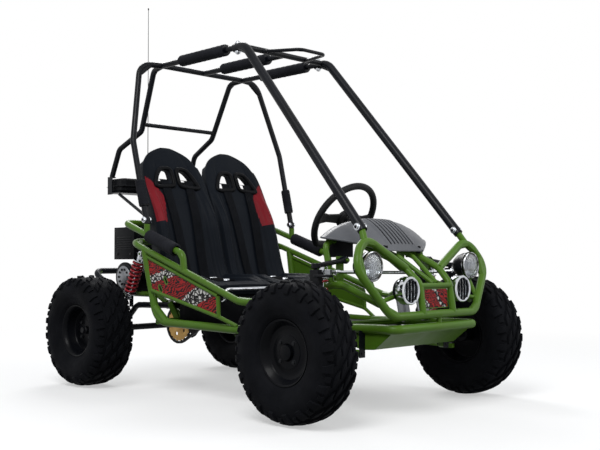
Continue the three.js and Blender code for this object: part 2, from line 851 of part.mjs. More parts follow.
// A coil-over shock: silver body hung from its top eye, rod on its lower eye, spring between two perches
function shockParts(top, low, pinAxis, spring) {
  const along = low.clone().sub(top)
  const length = along.length()
  along.normalize()
  const point = (reach) => top.clone().addScaledVector(along, reach)
  const bore = arm.boltRadius + gap
  const eye = (centre) => ring(shock.eyeRadius, bore, shock.eyeWidth / 2, centre, pinAxis)
  const bodyEnd = length * shock.bodyShare
  const lowPerch = length - shock.perchRise
  const body = join([
    cut(rod(point(shock.eyeRadius - shock.perchThickness), point(bodyEnd), shock.bodyRadius, 6),
      [rod(point(shock.perchDrop), point(length), clearOf(shock.rodRadius + runningGap, 6), 6)]),
    rod(point(shock.perchDrop - shock.perchThickness), point(shock.perchDrop), spring.perchRadius, 8),
  ])
  const shaft = join([
    rod(point(shock.perchDrop + shock.perchRise), point(length - shock.eyeRadius / 2), shock.rodRadius, 6),
    rod(point(lowPerch), point(length - shock.eyeRadius / 2), shock.bodyRadius - runningGap, 6),
    rod(point(lowPerch), point(lowPerch + shock.perchThickness), spring.perchRadius, 8),
  ])
  const boreCut = (centre) => {
    const reach = pinAxis.clone().multiplyScalar(overrun)
    return rod(centre.clone().sub(reach), centre.clone().add(reach), clearOf(bore, 6), 6)
  }
  return {
    body: cut(body, [boreCut(top)]).add(eye(top)),
    shaft: cut(shaft, [boreCut(low)]).add(eye(low)),
    spring: springSolid(point(shock.perchDrop + gap), point(lowPerch - gap), spring),
  }
}

// A pin and the plates that carry it
const pin = (centre, axis, half) => rod(centre.clone().addScaledVector(axis, -half), centre.clone().addScaledVector(axis, half), arm.boltRadius, 6)

function armBrackets(hand) {
  const solids = []
  const reach = arm.eyeWidth / 2 + runningGap + arm.tabThickness / 2
  const inner = (y, z) => V(hand * arm.innerX, y, z)
  const upper = inner(frontAxleY, arm.upperZ + arm.rise)
  const lowTop = side.lowerTaper.z
  const tall = upper.z + arm.eyeRadius - side.railCrest.z
  const plateX = (arm.innerX - arm.eyeRadius + side.railCrest.x) / 2
  const size = V(side.railCrest.x - arm.innerX + arm.eyeRadius, arm.tabThickness, tall)
  solids.push(block(size, V(hand * plateX, frontAxleY + reach, side.railCrest.z + tall / 2)))
  solids.push(pin(upper, Y, reach + arm.tabThickness))
  for (const leg of [-1, 1]) {
    const low = arm.lowerZ + arm.rise - arm.eyeRadius
    const drop = V(arm.eyeRadius * 2, arm.tabThickness, lowTop - low)
    const y = frontAxleY + leg * arm.spread
    solids.push(block(drop, V(hand * arm.innerX, y + leg * reach, (lowTop + low) / 2)))
    solids.push(pin(inner(y, arm.lowerZ + arm.rise), Y, reach + arm.tabThickness))
  }
  return join(solids)
}

// Lower arm: two legs from the frame pins to a ring round the lower ball
function lowerArm(hand) {
  const outer = V(hand * arm.outerX, frontAxleY, arm.lowerZ)
  const ringOuter = arm.ballRadius + gap + arm.ringWall
  const shockLow = at(arm.shockLow, hand)
  const solids = [ring(ringOuter, arm.ballRadius + gap, arm.ringHalf, outer, Z, 8)]
  for (const leg of [-1, 1]) {
    const inner = V(hand * arm.innerX, frontAxleY + leg * arm.spread, arm.lowerZ + arm.rise)
    solids.push(ring(arm.eyeRadius, arm.boltRadius + gap, arm.eyeWidth / 2, inner, Y))
    solids.push(rod(inner.clone().lerp(outer, arm.legShare), inner.clone().lerp(outer, arm.endShare), arm.lowerRadius, 6))
  }
  const tab = V(arm.eyeRadius * 2, arm.tabThickness, shockLow.z - arm.lowerZ + arm.eyeRadius)
  const tabY = shockLow.y - shock.eyeWidth / 2 - runningGap - arm.tabThickness / 2
  solids.push(block(tab, V(shockLow.x, tabY, (shockLow.z + arm.lowerZ + arm.eyeRadius) / 2)))
  const pinEnd = V(shockLow.x, shockLow.y + shock.eyeWidth / 2 + runningGap, shockLow.z)
  solids.push(rod(V(shockLow.x, tabY, shockLow.z), pinEnd, arm.boltRadius, 6))
  const ballRoom = rod(outer.clone().addScaledVector(Z, -overrun), outer.clone().addScaledVector(Z, overrun), clearOf(arm.ballRadius + gap, 8), 8)
  return cut(join(solids), [ballRoom])
}

function upperArm(hand) {
  const outer = V(hand * arm.outerX, frontAxleY, arm.upperZ)
  const inner = V(hand * arm.innerX, frontAxleY, arm.upperZ + arm.rise)
  const ringOuter = arm.ballRadius + gap + arm.ringWall
  const link = rod(inner.clone().lerp(outer, arm.legShare), inner.clone().lerp(outer, arm.endShare), arm.upperRadius, 6)
  const room = rod(outer.clone().addScaledVector(Z, -overrun), outer.clone().addScaledVector(Z, overrun), clearOf(arm.ballRadius + gap, 8), 8)
  return cut(join([
    link,
    ring(arm.eyeRadius, arm.boltRadius + gap, arm.eyeWidth / 2, inner, Y),
    ring(ringOuter, arm.ballRadius + gap, arm.ringHalf, outer, Z, 8),
  ]), [room])
}

const ball = (radius, centre) => toSolid(new THREE.SphereGeometry(radius, 7, 4).translate(centre.x, centre.y, centre.z))

function ballJoint(hand) {
  const centre = V(hand * arm.outerX, frontAxleY, arm.lowerZ)
  return ball(arm.ballRadius, centre).add(rod(centre, centre.clone().setZ(arm.lowerZ + knuckle.studLength), arm.ballPin, 8))
}

// Knuckle: post between the ball joints, stub axle, and the steering arm that reaches forward
function knuckleSolid(hand) {
  const x = hand * arm.outerX
  const low = arm.lowerZ + arm.ballRadius + knuckle.ringGap
  const high = arm.upperZ - arm.ballRadius - knuckle.ringGap
  const post = block(V(knuckle.postDepth, knuckle.postWidth, high - low), V(x, frontAxleY, (high + low) / 2))
  const stud = rod(V(x, frontAxleY, low), V(x, frontAxleY, arm.lowerZ + knuckle.studLength + gap), clearOf(arm.ballPin + gap, 8), 8)
  const spindle = rod(V(x, frontAxleY, axleZ), V(x + hand * knuckle.spindleLength, frontAxleY, axleZ), knuckle.spindleRadius, 8)
  const flange = rod(V(x, frontAxleY, axleZ), V(x + hand * knuckle.flangeReach, frontAxleY, axleZ), knuckle.postWidth / 2, 8)
  const neck = rod(V(x, frontAxleY, high - gap), V(x, frontAxleY, arm.upperZ), arm.ballPin, 6)
  const reach = frontAxleY - knuckle.steerArmY
  const armSize = V(knuckle.steerArmWidth, reach, knuckle.steerArmThickness)
  const steerArm = block(armSize, V(x, frontAxleY - reach / 2, knuckle.steerArmZ))
  const solid = join([post, spindle, flange, neck, ball(arm.ballRadius, V(x, frontAxleY, arm.upperZ)), steerArm])
  return cut(solid, [stud])
}

// Steering: wheel, column with its lower arm, and the two tie rods
const columnAxis = V(0, Math.cos(steering.tilt), Math.sin(steering.tilt))
const wheelUp = V(0, -Math.sin(steering.tilt), Math.cos(steering.tilt))
const columnPoint = (reach) => at(steering.centre).addScaledVector(columnAxis, -reach)
const pitmanEnd = columnPoint(steering.columnLength).addScaledVector(wheelUp, steering.pitmanLength)

function steeringWheel() {
  const radius = steering.wheelRadius
  const geometry = new THREE.TorusGeometry(radius, steering.gripRadius, 6, 20)
  const place = geometry.getAttribute('position')
  for (let i = 0; i < place.count; i++) {
    const angle = Math.atan2(place.getY(i), place.getX(i))
    const low = Math.min(0, radius * Math.sin(angle) + radius * steering.flatShare)
    place.setY(i, place.getY(i) - low)
  }
  const flat = basis(X.clone().negate(), wheelUp, columnAxis, at(steering.centre))
  const solids = [toSolid(geometry.applyMatrix4(flat))]
  for (const angle of steering.spokeAngles) {
    const inner = steering.hubRadius - steering.gripRadius / 2
    const outerReach = angle === steering.lowSpoke ? radius * steering.flatShare : radius
    const length = outerReach - inner
    const shape = new THREE.BoxGeometry(length, steering.spokeWidth, steering.spokeThickness)
    shape.translate(inner + length / 2, 0, 0).rotateZ(angle)
    solids.push(toSolid(shape.applyMatrix4(flat)))
  }
  const hubBack = columnPoint(steering.hubDepth / 2)
  solids.push(rod(hubBack, columnPoint(-steering.hubDepth / 2), steering.hubRadius, 10))
  return join(solids)
}

function steeringColumn() {
  const start = columnPoint(steering.hubDepth / 2 + gap)
  const end = columnPoint(steering.columnLength)
  const shaft = rod(start, end, steering.columnRadius, 8)
  const mid = end.clone().lerp(pitmanEnd, 0.5)
  const width = steering.pitmanWidth + tieRod.innerX * 2
  const armShape = new THREE.BoxGeometry(width, steering.pitmanLength + steering.pitmanWidth, steering.pitmanThickness)
  const flat = basis(X, wheelUp, X.clone().cross(wheelUp), mid)
  return join([shaft, toSolid(armShape.applyMatrix4(flat))])
}

// The tie rod end sits on the steering arm; the rod reaches in to the column's lower arm
function tieRodParts(hand) {
  const outer = V(hand * arm.outerX, knuckle.steerArmY + tieRod.endRadius, knuckle.steerArmZ)
  outer.z += knuckle.steerArmThickness / 2 + gap + tieRod.endHeight / 2
  const offset = steering.pitmanThickness / 2 + tieRod.endRadius + gap
  const inner = pitmanEnd.clone().addScaledVector(X, hand * tieRod.innerX).addScaledVector(columnAxis, offset)
  const along = inner.clone().sub(outer).normalize()
  const flatAlong = along.clone().setZ(0).normalize()
  const head = rod(outer.clone().addScaledVector(Z, -tieRod.endHeight / 2), outer.clone().addScaledVector(Z, tieRod.endHeight / 2), tieRod.endRadius, 8)
  const neckEnd = outer.clone().addScaledVector(flatAlong, tieRod.endLength)
  const fork = rod(outer, neckEnd, tieRod.radius, 6)
  const rodStart = outer.clone().addScaledVector(along, tieRod.endLength + gap + tieRod.jointGap)
  const body = join([
    rod(rodStart, inner, tieRod.radius, 6),
    rod(rodStart, rodStart.clone().addScaledVector(along, tieRod.nutLength), tieRod.nutRadius, 6),
    ball(tieRod.endRadius, inner),
  ])
  return { end: head.add(fork), body, outer, inner }
}

// Cowl: a moulded shell, widest at the driver's end, with fore-and-aft louvre slots
function cowlSolid(carriers) {
  const { across, along } = cowl
  const y = (u) => cowl.rearY + (cowl.frontY - cowl.rearY) * u
  const half = (u) => {
    const swell = Math.sin(Math.PI * Math.min(1, u / cowl.swellShare) / 2)
    const wide = cowl.rearHalf + (cowl.midHalf - cowl.rearHalf) * swell
    const taper = Math.max(0, (u - cowl.swellShare) / (1 - cowl.swellShare))
    return wide + (cowl.frontHalf - wide) * taper ** cowl.taperPower
  }
  const edge = (u) => cowl.sideZ + (cowl.frontZ - cowl.sideZ) * u ** 2
  const crown = (u) => {
    const fall = Math.max(0, (u - cowl.crestShare) / (1 - cowl.crestShare))
    const rise = Math.max(0, 1 - u / cowl.crestShare)
    return cowl.crownZ - (cowl.crownZ - cowl.frontZ) * fall ** cowl.fallPower - cowl.rearDrop * rise ** 2
  }
  const z = (u, v) => {
    const low = edge(u)
    return low + Math.max(0, crown(u) - low) * (1 - Math.abs(v) ** cowl.domePower)
  }
  const points = []
  for (const drop of [0, cowl.wall]) {
    for (let i = 0; i <= along; i++) {
      for (let j = 0; j <= across; j++) {
        const v = (2 * j) / across - 1
        const u = i / along
        const inset = drop ? (half(u) - cowl.wall) / half(u) : 1
        points.push(half(u) * v * inset, y(u), z(u, v) - drop)
      }
    }
  }
  const row = across + 1
  const layer = (along + 1) * row
  const faces = []
  const quad = (a, b, c, d) => faces.push(a, b, c, a, c, d)
  for (let i = 0; i < along; i++) {
    for (let j = 0; j < across; j++) {
      const a = i * row + j
      quad(a, a + row, a + row + 1, a + 1)
      quad(layer + a + 1, layer + a + row + 1, layer + a + row, layer + a)
    }
    for (const j of [0, across]) {
      const a = i * row + j
      if (j === 0) quad(a, layer + a, layer + a + row, a + row)
      else quad(a + row, layer + a + row, layer + a, a)
    }
  }
  for (let j = 0; j < across; j++) {
    quad(j + 1, layer + j + 1, layer + j, j)
    const a = along * row + j
    quad(a, layer + a, layer + a + 1, a + 1)
  }
  const geometry = new THREE.BufferGeometry()
  geometry.setAttribute('position', new THREE.BufferAttribute(new Float32Array(points), 3))
  geometry.setIndex(faces)
  let shell = toSolid(geometry)
  const slotLength = cowl.slotRearY - cowl.slotFrontY
  const slotMid = (cowl.slotRearY + cowl.slotFrontY) / 2
  for (let k = 0; k < cowl.slots; k++) {
    const x = (k - (cowl.slots - 1) / 2) * cowl.slotPitch
    const size = V(cowl.slotWidth, slotLength, cowl.crownZ - cowl.frontZ + overrun)
    shell = shell.subtract(block(size, V(x, slotMid, cowl.frontZ + size.z / 2 - overrun / 2)))
  }
  const bosses = []
  for (const hand of [1, -1]) {
    const frontU = (cowl.bossY - cowl.rearY) / (cowl.frontY - cowl.rearY)
    const frontX = hand * nose.hoodWaist.x
    const frontTop = z(frontU, nose.hoodWaist.x / half(frontU)) - cowl.wall / 2
    bosses.push(rod(V(frontX, cowl.bossY, frontTop), V(frontX, cowl.bossY, nose.hoodWaist.z), cowl.bossRadius, 8))
    const rearU = (dash.y - cowl.rearY) / (cowl.frontY - cowl.rearY)
    const rearX = hand * cowl.rearHalf * cowl.rearBossShare
    const rearTop = z(rearU, Math.abs(rearX) / half(rearU)) - cowl.wall / 2
    bosses.push(rod(V(rearX, dash.y, rearTop), V(rearX, dash.y, dash.z), cowl.bossRadius, 8))
  }
  const skirts = []
  for (const hand of [1, -1]) {
    const wall = cowl.skirtShares.map((u) => {
      const x = half(u) - cowl.skirtInset
      const top = z(u, x / half(u)) - cowl.wall / 2
      return [x - cowl.wall, x].flatMap((side) => [cowl.skirtLowZ, top].map((height) => [hand * side, y(u), height]))
    })
    for (let k = 1; k < wall.length; k++) skirts.push(wasm.Manifold.hull([...wall[k - 1], ...wall[k]]))
  }
  return cut(join([shell, ...bosses, ...skirts]), carriers)
}

// Rear: swing arm, live axle, sprocket, chain, jackshaft and disc brake
const swingArm = () => {
  const pivot = (x) => V(x, swing.pivot.y, swing.pivot.z)
  const hub = (x) => V(x, rearAxleY, axleZ)
  const solids = [rod(pivot(-swing.armX), pivot(swing.armX), swing.pivotRadius, 8)]
  for (const hand of [1, -1]) {
    const x = hand * swing.legX
    const points = [pivot(x), V(x, swing.kneeY, swing.kneeZ), hub(x)]
    solids.push(tube({ points, radius: swing.radius, bend: tightBend }))
    solids.push(ring(swing.carrierRadius, axle.radius, swing.carrierHalf, hub(x), X, 8))
    const low = at(swing.shockLow, hand)
    const tabX = hand * (swing.shockX - shock.eyeWidth / 2 - runningGap - swing.plateThickness / 2)
    const tall = low.z - swing.kneeZ + swing.tabDepth + swing.radius
    const tab = V(swing.plateThickness, shock.eyeRadius * 2, tall)
    solids.push(block(tab, V(tabX, low.y, low.z + arm.boltRadius + swing.tabRise - tall / 2)))
    const pinX = hand * (swing.shockX + shock.eyeWidth / 2 + runningGap)
    solids.push(rod(V(tabX, low.y, low.z), V(pinX, low.y, low.z), arm.boltRadius, 6))
  }
  const clearAxle = rod(hub(-rearTrack), hub(rearTrack), clearOf(axle.radius + runningGap, 8), 8)
  const pivotBore = rod(pivot(-rearTrack), pivot(rearTrack), clearOf(arm.boltRadius + gap, 8), 8)
  const arms = cut(join(solids), [clearAxle, pivotBore])
  const padY = rearAxleY - disc.radius + disc.padDepth / 2 - disc.bridge
  const pad = V(disc.x, padY, axleZ + disc.calliperRise)
  const calliper = block(V(disc.calliperWidth, disc.padDepth, disc.calliperHeight), pad)
  const slot = disc.thickness / 2 + runningGap
  const room = rod(hub(disc.x - slot), hub(disc.x + slot), clearOf(disc.radius + runningGap, 14), 14)
  const stay = tube({ points: [pad, V(swing.legX, disc.stayY, disc.stayZ)], radius: disc.stayRadius })
  return join([arms, cut(join([calliper, stay]), [room])])
}

function rearAxle() {
  const reach = rearTrack / 2 + rim.axleReach
  const shaft = rod(V(-reach, rearAxleY, axleZ), V(reach, rearAxleY, axleZ), axle.radius, 10)
  const solids = [shaft]
  for (const hand of [1, -1]) {
    const outer = rearTrack / 2 + rim.rearWidth / 2 - rim.rearDish + gap
    const face = outer - rim.wall * 2 - gap * 2
    solids.push(rod(V(hand * (face - axle.hubLength), rearAxleY, axleZ), V(hand * face, rearAxleY, axleZ), axle.hubRadius, 8))
    solids.push(rod(V(hand * (face - axle.flangeThickness), rearAxleY, axleZ), V(hand * face, rearAxleY, axleZ), rim.flangeRadius, 8))
    solids.push(rod(V(hand * outer, rearAxleY, axleZ), V(hand * (outer + rim.wall * 3), rearAxleY, axleZ), rim.nutRadius, 6))
  }
  for (const x of [sprocket.x, disc.x]) {
    const half = (x === disc.x ? disc : sprocket).thickness / 2
    const from = V(x + half + gap, rearAxleY, axleZ)
    solids.push(rod(from, V(x + half + gap + axle.collarLength, rearAxleY, axleZ), axle.collarRadius, 8))
  }
  return join(solids)
}

const toothShares = [0, 0.32, 0.62]
const boltCircleOf = (shape, count, circle, radius, sides) => {
  for (let k = 0; k < count; k++) {
    const angle = (k / count) * 2 * Math.PI
    const middle = new THREE.Vector2(Math.cos(angle), Math.sin(angle)).multiplyScalar(circle)
    shape.holes.push(new THREE.Path(roundShape(radius, sides).getPoints().map((point) => point.add(middle))))
  }
  return shape
}

function toothedPlate({ radius, teeth, toothDepth, bore, thickness, holes = 0, holeRadius, holeCircle }, centre) {
  const points = []
  for (let k = 0; k < teeth; k++) {
    for (const share of toothShares) {
      const reach = share === 0 ? radius - toothDepth : radius
      const angle = ((k + share) / teeth) * 2 * Math.PI
      points.push(new THREE.Vector2(reach * Math.cos(angle), reach * Math.sin(angle)))
    }
  }
  const shape = new THREE.Shape(points)
  shape.holes.push(roundShape(bore, 12))
  boltCircleOf(shape, holes, holeCircle, holeRadius, 6)
  return sheet(shape, thickness, basis(Y, Z, X, centre))
}

function brakeDisc() {
  const shape = roundShape(disc.radius, 16)
  shape.holes.push(roundShape(axle.radius / 2, 6))
  boltCircleOf(shape, disc.holes, disc.holeCircle, disc.holeRadius, 6)
  return sheet(shape, disc.thickness, basis(Y, Z, X, V(disc.x, rearAxleY, axleZ)))
}

// Chain: a band of link plates round both sprockets, scalloped once per link
function chainSolid() {
  const big = { centre: new THREE.Vector2(rearAxleY, axleZ), radius: sprocket.radius + chain.clearance }
  const small = { centre: new THREE.Vector2(jack.y, jack.z), radius: jack.radius + chain.clearance + chain.swingSlack }
  const line = small.centre.clone().sub(big.centre)
  const spread = Math.acos((big.radius - small.radius) / line.length())
  const facing = Math.atan2(line.y, line.x)
  const loop = (grow) => {
    const points = []
    const arc = (wheel, from, to) => {
      for (let k = 0; k <= chain.arcSteps; k++) {
        const angle = from + ((to - from) * k) / chain.arcSteps
        points.push(new THREE.Vector2(Math.cos(angle), Math.sin(angle)).multiplyScalar(wheel.radius + grow).add(wheel.centre))
      }
    }
    arc(big, facing + spread, facing + 2 * Math.PI - spread)
    arc(small, facing - spread, facing + spread)
    return points
  }
  const shape = new THREE.Shape(loop(chain.height))
  shape.holes.push(new THREE.Path(loop(0)))
  return sheet(shape, chain.width, basis(Y, Z, X, V(sprocket.x, 0, 0)))
}

function jackshaft() {
  const place = (x) => V(x, jack.y, jack.z)
  const reach = rear.postX
  const lowX = jack.pulleyX - jack.pulleyHalf
  const highX = jack.pulleyX + jack.pulleyHalf
  return join([
    rod(place(-reach), place(reach), jack.shaftRadius, 8),
    toothedPlate({ ...jack, bore: jack.shaftRadius - jack.hubBite, thickness: sprocket.thickness }, place(sprocket.x)),
    rod(place(lowX), place(lowX + jack.pulleyFlange), jack.pulleyRadius, 10),
    rod(place(lowX), place(highX), jack.pulleyCore, 8),
    rod(place(highX - jack.pulleyFlange), place(highX), jack.pulleyRadius, 10),
  ])
}

// What the frame carries at the rear: shock tabs, jackshaft blocks, pivot plates and the tank rack
function rearBrackets() {
  const solids = []
  for (const hand of [1, -1]) {
    const top = at(swing.shockTop, hand)
    const tabX = hand * (swing.shockX - shock.eyeWidth / 2 - runningGap - swing.plateThickness / 2)
    const long = top.y - rear.postY + shock.eyeRadius
    solids.push(block(V(swing.plateThickness, long, shock.eyeRadius * 2), V(tabX, rear.postY + long / 2, top.z)))
    const filler = Math.abs(tabX) - rear.postX
    solids.push(block(V(filler, crossRadius * 2, shock.eyeRadius * 2), V(hand * (rear.postX + filler / 2), rear.postY, top.z)))
    const pinX = hand * (swing.shockX + shock.eyeWidth / 2 + runningGap)
    solids.push(rod(V(tabX, top.y, top.z), V(pinX, top.y, top.z), arm.boltRadius, 6))
    solids.push(ring(jack.blockRadius, jack.shaftRadius + gap, jack.blockHalf, V(hand * rear.postX, jack.y, jack.z), X))
    const plateX = hand * (swing.armX + runningGap + swing.plateThickness / 2)
    const from = V(plateX, side.lowerRear.y, side.lowerRear.z)
    const to = V(plateX, swing.pivot.y, swing.pivot.z)
    const size = V(swing.plateThickness, from.distanceTo(to) + swing.pivotRadius * 2, swing.pivotRadius * 2)
    solids.push(block(size, from.clone().lerp(to, 0.5), new THREE.Euler(Math.atan2(to.z - from.z, to.y - from.y), 0, 0)))
    solids.push(rod(to.clone().setX(hand * (swing.armX - swing.pinLength)), to, arm.boltRadius, 6))
    const strutFoot = V(hand * rackStrut.footX, rear.postY, rackStrut.footZ)
    solids.push(rod(V(hand * rackStrut.x, rackStrut.y, rackStrut.z), strutFoot, rackStrut.radius, 6))
    const endX = hand * (tank.half + tank.flange + gap + rackStrut.plate)
    const tall = cage.stayFoot.z - tank.lowZ + rackStrut.plate * 2
    const midY = cage.stayFoot.y
    solids.push(block(V(rackStrut.plate, rackStrut.width, tall), V(endX, midY, cage.stayFoot.z - tall / 2)))
    const lip = Math.abs(endX) - cage.stayFoot.x + cageRadius
    const lipX = hand * (Math.abs(endX) - lip / 2 + rackStrut.plate / 2)
    solids.push(block(V(lip, rackStrut.width, rackStrut.plate), V(lipX, midY, cage.stayFoot.z - rackStrut.plate / 2 - gap)))
  }
  const floorY = (rackStrut.y - rackStrut.width / 2 + cage.stayFoot.y + rackStrut.width / 2) / 2
  const deep = cage.stayFoot.y - rackStrut.y + rackStrut.width
  const wide = (tank.half + tank.flange + gap + rackStrut.plate) * 2 + rackStrut.plate
  const floorZ = tank.lowZ - gap - rackStrut.plate / 2
  solids.push(block(V(wide, deep, rackStrut.plate), V(0, floorY, floorZ)))
  const tab = rackStrut.y - antenna.y + antenna.baseRadius
  solids.push(block(V(antenna.tabWidth, tab, rackStrut.plate), V(antenna.x, rackStrut.y - tab / 2, floorZ)))
  return join(solids)
}


// Seats: a bucket with a rolled head, raised bolsters and a black box under the cushion
const seatShares = [-1, -0.84, -0.55, 0, 0.55, 0.84, 1]
const seatLifts = [0.3, 1, 0.18, 0, 0.18, 1, 0.3]
const seatBackShares = [0.9, 0, -0.9]
const seatMiddle = 3
const seatHalf = (seat.outerX - seat.innerX) / 2
const seatCentre = (seat.innerX + seat.outerX) / 2
const seatSpine = new THREE.CatmullRomCurve3([
  V(0, seat.frontY, seat.frontZ),
  V(0, (seat.frontY + seat.hipY) / 2, seat.frontZ - seat.sink),
  V(0, seat.hipY - seat.sink, seat.hipZ - seat.sink),
  V(0, seat.hipY + seat.sink * 2, seat.hipZ + seat.hipRise),
  V(0, (seat.hipY + seat.topY) / 2, (seat.hipZ + seat.topZ) / 2),
  V(0, seat.topY, seat.topZ - seat.topThickness / 2),
])

// One cross-section of the seat, from its left edge over the front face and back underneath
function seatRow(u) {
  const spot = seatSpine.getPointAt(u)
  const normal = seatSpine.getTangentAt(u).cross(X).negate()
  const head = Math.max(0, (u - seat.headShare) / (1 - seat.headShare))
  const toe = Math.max(0, 1 - u / seat.toeShare)
  const round = (1 - head ** seat.headPower) ** (1 / seat.headPower)
  const width = seatHalf * Math.max(round, seat.tipShare) * (1 - seat.toeDraw * toe ** 2)
  const drawn = 1 - seat.edgeDraw * Math.max(head, toe) ** 3
  const thick = (seat.thickness + (seat.topThickness - seat.thickness) * u) * drawn
  const raised = seat.bolster * Math.sin(Math.PI * Math.min(1, u / seat.bolsterEnd)) ** seat.bolsterPower * (1 - toe) * (1 - head)
  const front = seatShares.map((share, k) => {
    const crown = seat.crown * (1 - Math.abs(share)) * drawn
    return V(share * width, 0, 0).addScaledVector(normal, thick / 2 + raised * seatLifts[k] + crown).add(spot)
  })
  const back = seatBackShares.map((share) => V(share * width, 0, 0).addScaledVector(normal, -thick / 2).add(spot))
  return { front, back, normal, width }
}

function lofted(rows, offsetX) {
  const count = rows[0].length
  const last = (rows.length - 1) * count
  const faces = []
  for (let i = 0; i < last; i += count) {
    for (let j = 0; j < count; j++) {
      const k = (j + 1) % count
      faces.push(i + j, i + k, i + count + k, i + j, i + count + k, i + count + j)
    }
  }
  for (let j = 1; j < count - 1; j++) faces.push(0, j + 1, j, last, last + j, last + j + 1)
  const points = rows.flat().flatMap((p) => [offsetX + p.x, p.y, p.z])
  const geometry = new THREE.BufferGeometry()
  geometry.setAttribute('position', new THREE.BufferAttribute(new Float32Array(points), 3))
  geometry.setIndex(faces)
  return toSolid(geometry)
}

const floorTop = side.lowerMid.z - gap * 3

function seatSolid(hand) {
  const rows = []
  for (let i = 0; i <= seat.rows; i++) {
    const { front, back } = seatRow(i / seat.rows)
    rows.push([...front, ...back])
  }
  const holes = [-1, 1].map((way) => {
    const place = V(hand * seatCentre + way * seat.holeOut, seat.topY, seat.holeZ)
    const turn = basis(X, Z, Y.clone().negate(), place).multiply(new THREE.Matrix4().makeRotationZ(-way * seat.holeTurn))
    return sheet(stadium(seat.holeWidth, seat.holeHeight), seat.thickness * 6, turn)
  })
  const deep = seat.boxRearY - seat.boxFrontY
  const tall = seat.boxTopZ - floorTop - gap
  const size = V(seat.boxHalf * 2, deep, tall)
  const pedestal = block(size, V(hand * seatCentre, seat.boxFrontY + deep / 2, seat.boxTopZ - tall / 2))
  const barAt = (way, y, z) => V(hand * seatCentre + way * seat.barOut, y, z)
  const handle = [-1, 1].map((way) => [barAt(way, seat.barRootY, seat.barLowZ), barAt(way, seat.barY, seat.barLowZ), barAt(way, seat.barY, seat.barZ)])
  const bar = tube({ points: [...handle[0], ...handle[1].reverse()], radius: seat.barRadius, bend: seat.barBend })
  return join([cut(lofted(rows, hand * seatCentre), holes), pedestal, bar])
}

// Belts: two shoulder straps, a lap strap and a buckle on each seat
function strapSolid(hand, from, to, start, end) {
  const rows = []
  for (let i = 0; i <= seat.rows; i++) {
    const u = i / seat.rows
    if (u < end - belt.slack || u > start) continue
    const { front, normal, width } = seatRow(u)
    const share = from + ((to - from) * (start - u)) / (start - end)
    const surface = (s) => {
      const k = Math.min(seatShares.length - 2, Math.max(0, seatShares.findIndex((edge) => edge > s) - 1))
      const mix = (s - seatShares[k]) / (seatShares[k + 1] - seatShares[k])
      return front[k].clone().lerp(front[k + 1], mix)
    }
    const half = belt.width / 2 / width
    const left = surface(share - half).addScaledVector(normal, belt.lift)
    const right = surface(share + half).addScaledVector(normal, belt.lift)
    const lift = (p) => p.clone().addScaledVector(normal, belt.thickness)
    rows.push([left, right, lift(right), lift(left)])
  }
  return lofted(rows, hand * seatCentre)
}

function harness(hand) {
  const { front, normal } = seatRow(belt.lowU)
  const middle = front[seatMiddle].clone().addScaledVector(normal, belt.lift)
  middle.x += hand * seatCentre
  const turn = new THREE.Euler(Math.atan2(-normal.y, normal.z), 0, 0)
  const buckle = middle.clone().addScaledVector(normal, belt.buckleThickness / 2)
  const lap = V((seatHalf - belt.lapIn) * 2, belt.width, belt.thickness * 2)
  return join([
    strapSolid(hand, -belt.hipShare, -belt.footShare, belt.topU, belt.lowU),
    strapSolid(hand, belt.hipShare, belt.footShare, belt.topU, belt.lowU),
    block(V(belt.buckleWidth, belt.buckleLength, belt.buckleThickness), buckle, turn),
    block(lap, buckle, turn),
  ])
}

// Roll cage
const mirrored = (path) => [1, -1].map((hand) => path(hand))
const aPillar = (hand) => ({
  points: [at(cage.aBottom, hand), at(cage.aTop, hand), at(cage.aEnd, hand)], radius: pillarRadius, bend: cageBend, sides: 8,
})
const bPillar = (hand) => ({
  points: [at(cage.bBottom, hand), at(cage.bKink, hand), at(cage.bTop, hand), V(hand * cage.jointX, cage.jointY, cage.roofZ)],
  radius: cageRadius,
  bend: cageBend,
})
const stay = (hand) => ({
  points: [V(hand * cage.jointX, cage.jointY, cage.roofZ), at(cage.stayTop, hand), at(cage.stayKink, hand),
    at(cage.stayElbow, hand), at(cage.stayFoot, hand)],
  radius: cageRadius,
  bend: tightBend,
})
const stayBar = { points: mirrored((hand) => V(hand * cage.stayBarX, cage.stayBar.y, cage.stayBar.z)), radius: cageBarRadius }
const cageSpecs = [...mirrored(aPillar), ...mirrored(bPillar), ...mirrored(stay), stayBar]

const roofSide = (x) => ({ points: [V(x, cage.aEnd.y, cage.roofZ), V(x, cage.jointY, cage.roofZ)], radius: crossRadius })
const roofSpecs = [
  roofSide(cage.jointX),
  roofSide(-cage.jointX),
  { points: [V(0, cage.frontBarY, cage.roofZ), V(0, cage.jointY, cage.roofZ)], radius: crossRadius },
  { points: mirrored((hand) => V(hand * cage.jointX, cage.jointY, cage.roofZ)), radius: crossRadius },
  { points: mirrored((hand) => V(hand * cage.jointX, cage.frontBarY, cage.roofZ)), radius: crossRadius },
  {
    points: [V(cage.loopFootX, cage.frontBarY, cage.roofZ - cage.centreDrop),
      V(cage.loopCorner.x, cage.loopCorner.y, cage.roofZ - cage.loopDrop),
      V(-cage.loopCorner.x, cage.loopCorner.y, cage.roofZ - cage.loopDrop),
      V(-cage.loopFootX, cage.frontBarY, cage.roofZ - cage.centreDrop)],
    radius: roofLoopRadius,
    bend: tightBend,
    sides: 6,
  },
]

// Foam: sleeves on the roof tubes and rear pillars, and a slip-on pad for each armrest
const pillarAt = (z, hand) => {
  const share = (z - cage.bBottom.z) / (cage.bKink.z - cage.bBottom.z)
  return at(cage.bBottom, hand).lerp(at(cage.bKink, hand), share)
}

